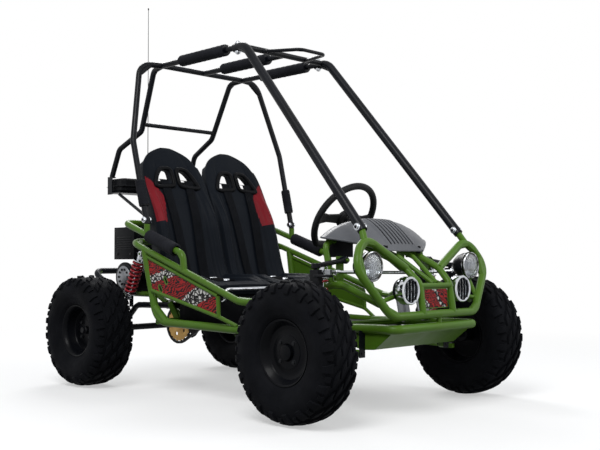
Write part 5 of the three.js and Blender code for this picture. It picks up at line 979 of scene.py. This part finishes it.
def softened(points):
    """Cuts the corners of a closed outline twice."""
    for _ in range(2):
        cut = []
        for (x, y), (nx, ny) in zip(points, points[1:] + points[:1]):
            cut += [(x + (nx - x) * share, y + (ny - y) * share) for share in (0.25, 0.75)]
        points = cut
    return points


def round_slot(width, height, radius):
    """Outline of a slot with rounded corners."""
    points = []
    for cx, cy, start in ((1, 1, 0), (-1, 1, 1), (-1, -1, 2), (1, -1, 3)):
        for k in range(CORNER_STEPS + 1):
            angle = (start + k / CORNER_STEPS) * pi / 2
            points.append((cx * (width / 2 - radius) + radius * cos(angle),
                           cy * (height / 2 - radius) + radius * sin(angle)))
    return points


# The straps run along the seat between these shares of its spine
STRAP_ROWS, STRAP_LOW, STRAP_HIGH, STRAP_TURN = 90, 0.2, 0.86, 0.835
STRAP_HALF, STRAP_THICK, STRAP_SPAN = 19, 2.4, 0.63
BUCKLE_ROW = 18


def build_harness(label, mid):
    rows = spine_table(STRAP_ROWS)
    part = Part()
    reaches = (-STRAP_HALF, -STRAP_HALF * 0.3, STRAP_HALF * 0.3, STRAP_HALF)
    for way in (-1, 1):
        strap = []
        for u, place, along in rows:
            if not STRAP_LOW <= u <= STRAP_HIGH:
                continue
            station = seat_station(u, along)
            normal, width = station[:2]
            run = (u - STRAP_LOW) / STRAP_SPAN
            share = way * (0.2 + 0.19 * run)
            lift = 2.6 + 4.2 * sin(pi * run) * (1 if way > 0 else 0.7)
            if u > STRAP_TURN:
                lift -= (u - STRAP_TURN) * 1500
            edges = [seat_surface(station, place, share + e / width) + Vector((mid, 0, 0)) for e in reaches]
            strap.append([p + normal * lift for p in edges]
                         + [p + normal * (lift + STRAP_THICK) for p in reversed(edges)])
        part.loft(strap)
    part.build("straps_" + label, "webbing", sharp=50, stands_for="harness_" + label)
    u, place, along = rows[BUCKLE_ROW]
    station = seat_station(u, along)
    normal = station[0]
    base = seat_surface(station, place, 0) + Vector((mid, 0, 0))
    turn = Matrix((X, along, X.cross(along))).transposed()
    if turn.col[2].dot(normal) < 0:
        turn = Matrix((-X, along, (-X).cross(along))).transposed()
    buckle = Part()
    buckle.box((56, 62, 15), base + normal * 9.5, turn, taper=0.86)
    buckle.box((34, 18, 5), base + normal * 18 + along * 6, turn, 1, taper=0.9)
    for way in (-1, 1):
        buckle.box((30, 46, 8), base + normal * 9 + X * way * 46, turn, 1, taper=0.9)
        buckle.box((44, 44, 3), base + normal * 8 + X * way * 66, turn, 2)
    buckle.build("buckle_" + label, ["cover_black", "chrome", "webbing"], bevel=2.2,
                 slot_name="webbing", stands_for="harness_" + label)


# Steering wheel
WHEEL_C = Vector((139, -265, 623))
TILT = 0.584
AXIS = Vector((0, cos(TILT), sin(TILT)))
UP = Vector((0, -sin(TILT), cos(TILT)))
WHEEL_R, GRIP_R, WHEEL_STEPS = 136, 12.2, 96
# The ring is flattened below this share of its radius
FLAT_FROM, FLATTENING = 0.78, 0.94
# Reach, half width and half depth along each spoke
SIDE_SPOKE = ((24, 19, 5), (55, 17, 4.4), (90, 15, 4.4), (118, 20, 6), (132, 27, 8))
LOW_SPOKE = ((22, 18, 5), (50, 15, 4.4), (80, 15, 4.4), (102, 20, 7))
WHEEL_HUB = [(0, -13), (30, -13), (34, -9), (34, 6), (30, 11), (20, 13), (18, 12), (0, 12)]


def build_wheel():
    part = Part()
    stations = []
    for k in range(WHEEL_STEPS):
        angle = 2 * pi * k / WHEEL_STEPS
        x, y = WHEEL_R * cos(angle), WHEEL_R * sin(angle)
        y -= min(0, y + WHEEL_R * FLAT_FROM) * FLATTENING
        stations.append(WHEEL_C - X * x + UP * y)
    part.sweep(stations, GRIP_R, 20, closed=True)
    for out, side, spoke in ((-X, UP, SIDE_SPOKE), (X, UP, SIDE_SPOKE), (-UP, X, LOW_SPOKE)):
        rows = []
        for reach, half, depth in spoke:
            centre = WHEEL_C + out * reach
            rows.append([centre + side * half - AXIS * depth, centre + side * half + AXIS * depth,
                         centre - side * half + AXIS * depth, centre - side * half - AXIS * depth])
        part.loft(rows)
    part.lathe(WHEEL_HUB, WHEEL_C, AXIS, 40)
    part.build("wheel_grip", "grip_black", "steering", bevel=2.0, sharp=44, stands_for="steering_wheel")


# Cowl, with u from its rear edge to its nose and v across it
COWL_REAR, COWL_FRONT = -476, -655
COWL_ACROSS, COWL_ALONG = 84, 60
COWL_REAR_HALF, COWL_SWELL, COWL_NOSE_HALF, WIDEST_U = 205, 41, 84, 0.3
COWL_SHEET, COWL_INSET = 3.4, 3
SLOT_COUNT, SLOT_PITCH, SLOT_Y = 7, 18.4, -585
LINING_ROWS, LINING_X = 10, (-62, -31, 0, 31, 62)
WALL_ROWS, WALL_LOW_Z, WALL_SHEET = 15, 484, 3
# X, y, foot, head, radius and sides of each post and button
COWL_POSTS = ((84, -640, 486, 520, 6, 24), (164, -520, 540, 566, 6, 24), (88, -636, 512, 521, 5, 20))


def cowl_y(u):
    return COWL_REAR + (COWL_FRONT - COWL_REAR) * u


def cowl_half(u):
    swell = sin(pi * min(1, u / WIDEST_U) / 2)
    wide = COWL_REAR_HALF + COWL_SWELL * swell
    taper = max(0, (u - WIDEST_U) / (1 - WIDEST_U))
    return wide + (COWL_NOSE_HALF - wide) * taper ** 1.3


def cowl_z(u, v):
    low = 549 - 43 * u ** 2
    fall = max(0, (u - WIDEST_U) / (1 - WIDEST_U))
    rise = max(0, 1 - u / WIDEST_U)
    crown = 608 - 102 * fall ** 1.45 - 6 * rise ** 2
    dome = low + max(0, crown - low) * (1 - abs(v) ** 2.6)
    crease = 1.6 * exp(-((abs(v) - 0.62) / 0.05) ** 2) * (1 - u)
    x = abs(v) * cowl_half(u)
    panel = 3.2 * ease((74 - x) / 7) * ease((u - 0.22) / 0.05) * ease((0.93 - u) / 0.04)
    return dome - crease + panel


def cowl_under(u, x, drop):
    """Place under the cowl's skin at u and x."""
    return (x, cowl_y(u), cowl_z(u, x / cowl_half(u)) - drop)


def cowl_sheet():
    part = Part()
    verts, faces = [], []
    for drop in (0, COWL_SHEET):
        for i in range(COWL_ALONG + 1):
            for j in range(COWL_ACROSS + 1):
                u, v = i / COWL_ALONG, 2 * j / COWL_ACROSS - 1
                inset = (cowl_half(u) - COWL_INSET) / cowl_half(u) if drop else 1
                verts.append((cowl_half(u) * v * inset, cowl_y(u), cowl_z(u, v) - drop))
    row = COWL_ACROSS + 1
    layer = (COWL_ALONG + 1) * row
    for i in range(COWL_ALONG):
        for j in range(COWL_ACROSS):
            a = i * row + j
            faces.append((a, a + row, a + row + 1, a + 1))
            faces.append((layer + a + 1, layer + a + row + 1, layer + a + row, layer + a))
        a, b = i * row, i * row + COWL_ACROSS
        faces.append((a, layer + a, layer + a + row, a + row))
        faces.append((b + row, layer + b + row, layer + b, b))
    for j in range(COWL_ACROSS):
        a = COWL_ALONG * row + j
        faces.append((j + 1, layer + j + 1, layer + j, j))
        faces.append((a, layer + a, layer + a + 1, a + 1))
    return part.add(verts, faces)


def cowl_edge():
    drop = 1.5
    rim = [Vector((cowl_half(k / 24), cowl_y(k / 24), cowl_z(k / 24, 1) - drop)) for k in range(25)]
    path = [Vector((-p.x, p.y, p.z)) for p in reversed(rim)]
    path += [Vector(cowl_under(0, x, drop)) for x in range(-200, 201, 5)] + rim
    return Part().sweep(path, 3.6, 10)


def cowl_lining():
    verts = []
    for k in range(LINING_ROWS + 1):
        verts += [cowl_under(WIDEST_U + 0.58 * k / LINING_ROWS, x, 9) for x in LINING_X]
    wide = len(LINING_X)
    corners = [i * wide + j for i in range(LINING_ROWS) for j in range(wide - 1)]
    return Part().add(verts, [(a, a + 1, a + wide + 1, a + wide) for a in corners])


def cowl_walls():
    walls = Part()
    for hand, _ in HANDS:
        verts = []
        for k in range(WALL_ROWS):
            share = k / (WALL_ROWS - 1)
            x = 203.5 - 28.7 * share
            _, y, top = cowl_under(0.1 + 0.48 * share, x, 2)
            inner = x - WALL_SHEET
            corners = ((x, WALL_LOW_Z), (x, top), (inner, top), (inner, WALL_LOW_Z))
            verts += [(hand * side, y, z) for side, z in corners]
        last = 4 * (WALL_ROWS - 1)
        walls.add(verts, grid(WALL_ROWS, 4) + [(0, 3, 2, 1), (last, last + 1, last + 2, last + 3)])
    return walls


def build_cowl():
    cowl = cowl_sheet().build("cowl_shell", "cowl_grey", None, sharp=40)
    slots = Part()
    for k in range(SLOT_COUNT):
        x = (k - SLOT_COUNT // 2) * SLOT_PITCH
        slots.plate([round_slot(7.4, 108, 3.6)], 160, Matrix.Translation((x, SLOT_Y, 560)))
    cut_out(cowl, slots, "cowl_grey")
    shade(cowl.data, 40)
    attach(cowl, "chassis")
    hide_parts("cowl")
    cowl_edge().build("cowl_edge", "cowl_grey", sharp=60)
    posts = Part()
    for hand, _ in HANDS:
        for x, y, foot, head, radius, sides in COWL_POSTS:
            posts.rod((hand * x, y, foot), (hand * x, y, head), radius, sides)
    # On the walls this black is painted shade: they are the cowl's grey plastic sides, shown dark because
    # they stand in shadow
    for name, piece in (("slot_lining", cowl_lining()), ("posts", posts), ("walls", cowl_walls())):
        piece.build("cowl_" + name, "cover_black", slot_name="cowl_grey")


# Lamps and plate, with each profile as radius and reach behind the lamp's face
LAMP_SLOTS = ["cage_black", "lamp_chrome", "frame_green", "chrome"]
HEAD_BOWL = [(45, 0), (46, 3), (45, 9), (43.5, 11), (42, 26), (36, 44), (26, 57), (16, 62), (0, 62)]
HEAD_RING = [(40, 2), (40, -1), (42, -3), (44.4, -2), (45.6, 1), (45.6, 6), (45, 9)]
HEAD_MIRROR = [(40.5, 1), (36, 8), (27, 20), (16, 27), (8, 29), (8, 14), (6, 10), (0, 9)]
HEAD_LENS = [(0, -9), (10, -8.6), (22, -6.6), (32, -3.6), (39.5, 0), (40, 1.5), (31, -1.6), (20, -4.4),
             (0, -6.6)]
FOG_RING = [(34, 5), (34, -1.5), (36, -3.5), (40, -3.5), (42.3, -1), (42.3, 25), (41, 27), (38, 28)]
FOG_BOWL = [(40.5, 24), (38, 31), (34, 42), (26, 46), (0, 46)]
FOG_MIRROR = [(36, 2), (33, 8), (22, 18), (10, 22), (0, 22)]
FOG_LENS = [(0, 3), (20, 3.6), (34.5, 4.4), (34.5, 6), (0, 5)]
FOG_BAR_HALF, FOG_BAR_PITCH, FOG_BAR_SHARES = 36, 15, (-1, -0.6, -0.2, 0.2, 0.6, 1)
PANEL = [(230, 482), (199, 374), (-162, 296), (-157, 352)]
PANEL_HOLES, PANEL_HOLE_TURN = ((121, 405), (152, 376)), 0.96


def finish_lamp(part, kind, label, lens, centre, segments, slots):
    part.build(f"{kind}_body_{label}", slots, sharp=34, slot_name="lamp_chrome",
               stands_for=f"{kind}_{label}")
    glass = Part().lathe(lens, centre, Y, segments)
    glass.build(f"{kind}_lens_{label}", "lamp_glass", sharp=50, slot_name="lamp_chrome")


def build_lamps():
    for hand, label in HANDS:
        centre = Vector((hand * 252, -728, 456))
        part = Part()
        part.lathe(HEAD_BOWL, centre, Y, 48, 0)
        part.lathe(HEAD_RING, centre, Y, 48, 1)
        part.lathe(HEAD_MIRROR, centre, Y, 14, 1)
        part.tube([centre + Vector((0, 12, -41)), Vector((hand * 252, -749, 350))], SMALL + PROUD, slot=2)
        finish_lamp(part, "headlamp", label, HEAD_LENS, centre, 48, LAMP_SLOTS[:3])
        centre = Vector((hand * 134, -775, 383))
        part = Part()
        part.lathe(FOG_RING, centre, Y, 48, 3)
        part.lathe(FOG_BOWL, centre, Y, 40, 0)
        part.lathe(FOG_MIRROR, centre, Y, 24, 1)
        for k in range(4):
            drop = (k - 1.5) * FOG_BAR_PITCH
            tall = sqrt(FOG_BAR_HALF ** 2 - drop ** 2)
            path = [centre + Vector((drop, -2.5 + 2 * s ** 2, s * tall)) for s in FOG_BAR_SHARES]
            part.sweep(path, 3.4, 10, squash=0.6)
        part.tube([centre + Vector((0, 42, 0)), Vector((hand * 134, -716, 372))], SMALL + PROUD, slot=2)
        finish_lamp(part, "fog_lamp", label, FOG_LENS, centre, 40, LAMP_SLOTS)
    face = Part().box((116, 0.5, 56), (0, -769.5, 357))
    face.build("plate_face", "plate_red")
    paint("front_plate", "frame_green")
    c, s = cos(PANEL_HOLE_TURN), sin(PANEL_HOLE_TURN)
    hole = round_slot(35, 20, 9.9)
    loops = [PANEL] + [[(y + a * c - b * s, z + a * s + b * c) for a, b in hole] for y, z in PANEL_HOLES]
    for hand, label in HANDS:
        part = Part().plate(loops, 0.5, upright(hand * (SIDE_X + 1.35)))
        part.build("panel_print_" + label, "panel_print", sharp=30, slot_name="plate_red")


# Floor and nose tray
DECK_HALF = [(346, 181), (340, -224), (206, -470)]
DECK_TOP, SHEET = 249.1, 2.5
TRAY_WIDTH, TRAY_WALL_X = 404, 200.7
TRAY_RIM = [(-778, 266), (-762, 262), (-690, 206), (-640, 203), (-470, 246.6)]


def build_floor():
    outline = DECK_HALF + [(-x, y) for x, y in reversed(DECK_HALF)]
    deck = Part().plate([outline], SHEET, Matrix.Translation((0, 0, DECK_TOP - SHEET / 2 + PROUD)))
    for k in range(9):
        deck.box((380, 5, 3), (0, -440 + k * 66, 250))
    deck.build("floor_deck", "pan_black", stands_for="floor_pan")
    loop = round_profile(TRAY_RIM, 14)
    skin_loop = loop + [(y, z + SHEET) for y, z in reversed(loop)]
    tray = Part()
    tray.plate([skin_loop], TRAY_WIDTH, upright(0))
    for hand, _ in HANDS:
        tray.plate([loop], SHEET, upright(hand * TRAY_WALL_X))
    tray.build("nose_tray", "frame_green", sharp=30, stands_for="floor_pan")


def round_profile(points, bend):
    stations = round_corners([Vector((y, z, 0)) for y, z in points], bend, pi / 24)
    return [(p.x, p.y) for p in stations]


# Engine, silencer, tank and antenna
ENGINE_X, ENGINE_Y, SHAFT_Z = -134, 562, 410
PIPE_Y, PIPE_X = 690, 60
COVER_X, COVER_Y = -179, 539
MAST_X, MAST_Y, MAST_FOOT, MAST_RISE = -94, 608, 776, 740
ENGINE_BOXES = (
    ((180, 148, 40), (ENGINE_X, ENGINE_Y, 376), 0),
    ((150, 118, 36), (ENGINE_X, ENGINE_Y, 414), 0),
    ((56, 44, 50), (-66, 500, 432), 0),
    ((24, 30, 16), (-66, 620, 450), 1),
    ((60, 20, 40), (110, 712, 372), 0),
)
# X from and to, place, radius, sides, slot and edge of each rod that lies across
ENGINE_RODS = (
    (-40, -26, (ENGINE_Y, 402), 34, 40, 1, 1.0),
    (-236, -226, (566, SHAFT_Z), 58, 48, 0, 1.0),
    (-240, -236, (566, SHAFT_Z), 44, 48, 1, 1.0),
    (20, 196, (PIPE_Y, SHAFT_Z), 38, 48, 0, 6),
    (14, 202, (PIPE_Y, SHAFT_Z), 32, 40, 1, 4),
    (52, 58, (PIPE_Y, SHAFT_Z), 38.6, 48, 1, 1.5),
    (108, 114, (PIPE_Y, SHAFT_Z), 38.6, 48, 1, 1.5),
    (164, 170, (PIPE_Y, SHAFT_Z), 38.6, 48, 1, 1.5),
)


def build_engine():
    part = Part()
    for size, centre, slot in ENGINE_BOXES:
        part.box(size, centre, slot=slot)
    for start, end, (y, z), radius, sides, slot, edge in ENGINE_RODS:
        part.rod((start, y, z), (end, y, z), radius, sides, slot, edge)
    for k in range(6):
        part.box((116 - k * 2, 128 - k * 2, 3.2), (ENGINE_X, ENGINE_Y, 430 + k * 6), slot=1)
    for k in range(10):
        angle = k * pi / 5
        base = Vector((-241, 566 + 30 * cos(angle), SHAFT_Z + 30 * sin(angle)))
        part.rod(base, base - X * 2, 5, 14, 0)
    for x in (-214, -54):
        for y in (500, 626):
            part.hexagon((x, y, 396), (x, y, 403), 7, 1)
    part.tube([(-70, 500, 400), (-70, 470, 392), (-64, 452, 396)], 10, 20, slot=1)
    part.rod((-82, 500, 458), (-82, 500, 466), 12, 20, 0)
    pipe = [(-73, ENGINE_Y, SHAFT_Z), (PIPE_X, ENGINE_Y, SHAFT_Z), (PIPE_X, PIPE_Y, SHAFT_Z)]
    part.tube(pipe, 11, TIGHT_BEND, slot=1)
    part.tube([(150, PIPE_Y, SHAFT_Z), (150, 748, SHAFT_Z)], 11, slot=1)
    part.build("engine_block", ["dark_steel", "steel"], bevel=1.6, sharp=36, stands_for="engine")
    cover = Part()
    cover.box((154, 134, 126), (COVER_X, COVER_Y, 542))
    cover.box((120, 8, 58), (COVER_X, 474, 556))
    for k in range(6):
        cover.box((110, 3, 4), (COVER_X, 470.6, 534 + k * 9), slot=1)
        cover.box((3, 96, 4), (-256.5, COVER_Y, 520 + k * 9), slot=1)
    cover.rod((COVER_X, COVER_Y, 600), (COVER_X, COVER_Y, 619), 30, 40, 0, edge=5)
    cover.box((96, 70, 6), (COVER_X, COVER_Y, 606))
    for y in (494, 584):
        cover.hexagon((-254, y, 500), (-258, y, 500), 6, 1)
        cover.hexagon((-104, y, 500), (-100, y, 500), 6, 1)
    cover.build("engine_shroud", ["cover_black", "dark_steel"], bevel=7, sharp=50,
                stands_for="engine_cover")
    skin("fuel_tank", "cover_black", 1.8, 10, 0.3, 40)
    mast = Part()
    foot = [(0, 0), (7, 0), (7, 3), (5.4, 5), (5.4, 16), (4.2, 19), (3.4, 26), (0, 26)]
    mast.lathe(foot, (MAST_X, MAST_Y, 752), Z, 24)
    steps = 24
    stations = [Vector((MAST_X, MAST_Y, MAST_FOOT + MAST_RISE * k / steps)) for k in range(steps + 1)]
    mast.sweep(stations, [1.8 - 0.7 * k / steps for k in range(steps + 1)], 10)
    mast.rod((MAST_X, MAST_Y, 1508), (MAST_X, MAST_Y, 1516), 2.6, 16)
    mast.build("antenna_mast", "dark_steel", stands_for="antenna")


# Coil springs between their perches
PERCH_DROP, PERCH_RISE = 30.4, 22.4
COIL_STEPS = 24
FRONT_SHOCK, FRONT_COIL = ((272, -547, 449), (296, -547, 206)), (6, 15.5, 3)
REAR_SHOCK, REAR_COIL = ((255, 424, 500), (255, 508, 333)), (7, 20, 4)


def build_spring(name, ends, size):
    coils, coil_radius, wire = size
    top, low = ends
    along = (low - top).normalized()
    start = top + along * PERCH_DROP
    length = (low - top).length - PERCH_DROP - PERCH_RISE
    across = Z.cross(along).normalized()
    other = along.cross(across)
    half_turn, seat = COIL_STEPS // 2, wire * 2
    steps = coils * COIL_STEPS
    path = []
    for k in range(-half_turn, steps + half_turn + 1):
        angle = k / COIL_STEPS * 2 * pi
        share = min(1, max(0, k / steps))
        reach = seat + (length - 2 * seat) * share
        beyond = max(0, -k, k - steps) / (COIL_STEPS / 2)
        reach += (wire - seat) * beyond if k < 0 else (seat - wire) * beyond
        ring = across * cos(angle) + other * sin(angle)
        path.append(start + ring * coil_radius + along * reach)
    coil = Part().sweep(path, wire, 12).build("coil_" + name, "spring_red", None, sharp=60, stands_for=name)
    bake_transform(coil)


# Node, finish and voxel size of each solid that gets a dense skin
MIDDLE_SKINS = (
    ("swing_arm", "cage_black", 1.6),
    ("rear_axle", "dark_steel", 1.5),
    ("jackshaft", "dark_steel", 1.3),
    ("steering_column", "dark_steel", 1.2),
)
SIDE_SKINS = (
    ("lower_arm", "frame_green", 1.2),
    ("upper_arm", "cage_black", 1.1),
    ("knuckle", "dark_steel", 1.2),
    ("tie_rod", "chrome", 1.0),
    ("tie_rod_end", "steel", 0.9),
    ("ball_joint", "steel", 0.8),
    ("front_shock", "chrome", 0.8),
    ("front_shock_rod", "chrome", 0.7),
    ("rear_shock", "chrome", 0.8),
    ("rear_shock_rod", "chrome", 0.7),
)


def build_drive():
    for node, finish, voxel in MIDDLE_SKINS:
        skin(node, finish, voxel)
    for hand, label in HANDS:
        for node, finish, voxel in SIDE_SKINS:
            skin(f"{node}_{label}", finish, voxel, 6)
        front = [spot(p, hand) for p in FRONT_SHOCK]
        build_spring("front_spring_" + label, front, FRONT_COIL)
        rear = [spot(p, hand) for p in REAR_SHOCK]
        build_spring("rear_spring_" + label, rear, REAR_COIL)
    for node in ("throttle_pedal", "brake_pedal"):
        skin(node, "steel", 1.0, 5)
    paint("sprocket", "sprocket_bronze")
    paint("chain", "dark_steel")


build_frame()
build_cage()
build_rims()
build_seats()
build_wheel()
build_cowl()
build_lamps()
build_floor()
build_engine()
build_drive()


# Stage
FLOOR_SIZE, FLOOR_DEPTH, FLOOR_GAP = 16000, 20, 0.5
FLOOR_FADE = {"From Min": 1.2, "From Max": 3.4, "To Min": 0.45, "To Max": 1.0}
FLOOR_LIT, FLOOR_SEEN = (0.3, 0.3, 0.3, 1), (0.9, 0.9, 0.9, 1)
SKY_COLOR, SKY_STRENGTH = (0.92, 0.96, 1.0, 1), 0.45
LIGHTS = (
    ("key", (-2.6, -1.6, 3.6), 2.2, 120),
    ("fill", (1.8, -3.4, 2.2), 2.4, 50),
    ("rim", (1.6, 2.8, 3.0), 2.0, 80),
)
LIGHT_AIM = Vector((0, 0, 0.5))


def seen_share(wiring, path, kinds):
    """1 where one of these kinds of ray looks, and 0 elsewhere."""
    share = path.outputs[kinds[0]]
    for kind in kinds[1:]:
        larger = wiring.node("ShaderNodeMath", operation="MAXIMUM")
        wiring.link(share, larger.inputs[0])
        wiring.link(path.outputs[kind], larger.inputs[1])
        share = larger.outputs[0]
    return share


def build_backdrop():
    block = Part().box((FLOOR_SIZE, FLOOR_SIZE, FLOOR_DEPTH), (0, 0, -FLOOR_DEPTH / 2 - FLOOR_GAP))
    floor = block.build("floor", "foam", None, slot_name=False)
    paper = bpy.data.materials.new("paper")
    paper.use_nodes = True
    wiring = Wiring(paper.node_tree)
    shader = wiring.nodes["Principled BSDF"]
    shader.inputs["Roughness"].default_value = 0.9
    shader.inputs["Specular IOR Level"].default_value = 0.1
    path = wiring.node("ShaderNodeLightPath")
    reach = wiring.node("ShaderNodeVectorMath", operation="LENGTH")
    wiring.link(wiring.node("ShaderNodeTexCoord").outputs["Object"], reach.inputs[0])
    fade = wiring.node("ShaderNodeMapRange", interpolation_type="SMOOTHSTEP", **FLOOR_FADE)
    wiring.link(reach.outputs["Value"], fade.inputs["Value"])
    share = wiring.node("ShaderNodeMath", operation="MULTIPLY")
    wiring.link(seen_share(wiring, path, ("Is Camera Ray", "Is Glossy Ray")), share.inputs[0])
    wiring.link(fade.outputs["Result"], share.inputs[1])
    color = wiring.mix_colors(path.outputs["Is Camera Ray"])
    color.inputs[6].default_value = FLOOR_LIT
    color.inputs[7].default_value = FLOOR_SEEN
    wiring.link(color.outputs[2], shader.inputs["Base Color"])
    glow = wiring.node("ShaderNodeEmission", Strength=1.0)
    wiring.mix_shaders(share.outputs[0], shader, glow, "Material Output")
    floor.data.materials.clear()
    floor.data.materials.append(paper)


def build_lights():
    world = bpy.data.worlds.new("studio")
    bpy.context.scene.world = world
    world.use_nodes = True
    wiring = Wiring(world.node_tree)
    dim = wiring.nodes["Background"]
    dim.inputs["Color"].default_value = SKY_COLOR
    dim.inputs["Strength"].default_value = SKY_STRENGTH
    white = wiring.node("ShaderNodeBackground", Color=(1, 1, 1, 1), Strength=1.0)
    kinds = ("Is Camera Ray", "Is Transmission Ray", "Is Glossy Ray")
    share = seen_share(wiring, wiring.node("ShaderNodeLightPath"), kinds)
    wiring.mix_shaders(share, dim, white, "World Output")
    for name, place, size, power in LIGHTS:
        light = bpy.data.lights.new(name, "AREA")
        light.shape = "DISK"
        light.size = size
        light.energy = power
        lamp = bpy.data.objects.new(name, light)
        lamp.location = place
        lamp.rotation_euler = (LIGHT_AIM - Vector(place)).to_track_quat("-Z", "Y").to_euler()
        bpy.context.scene.collection.objects.link(lamp)


# Camera, fitted to the photo
CAMERA_TURN, CAMERA_TIP, CAMERA_ROLL = -0.7904125, -0.0378193, -0.0023107
CAMERA_PLACE = Vector((-2.30016, -2.45469, 0.477515))
FOCAL_PIXELS, PICTURE_WIDTH, SENSOR_WIDTH = 909.366, 600, 36


def build_camera():
    level = cos(CAMERA_TIP)
    back = Vector((sin(CAMERA_TURN) * level, -cos(CAMERA_TURN) * level, sin(CAMERA_TIP)))
    right = Z.cross(back).normalized()
    up = back.cross(right)
    rolled_right = right * cos(CAMERA_ROLL) + up * sin(CAMERA_ROLL)
    rolled_up = up * cos(CAMERA_ROLL) - right * sin(CAMERA_ROLL)
    data = bpy.data.cameras.new("camera")
    data.lens = FOCAL_PIXELS / PICTURE_WIDTH * SENSOR_WIDTH
    data.sensor_width = SENSOR_WIDTH
    data.sensor_fit = "HORIZONTAL"
    camera = bpy.data.objects.new("camera", data)
    matrix = Matrix((rolled_right, rolled_up, back)).transposed().to_4x4()
    matrix.translation = CAMERA_PLACE
    camera.matrix_world = matrix
    bpy.context.scene.collection.objects.link(camera)
    bpy.context.scene.camera = camera


build_backdrop()
build_lights()
build_camera()
bpy.context.scene.view_settings.view_transform = "Standard"
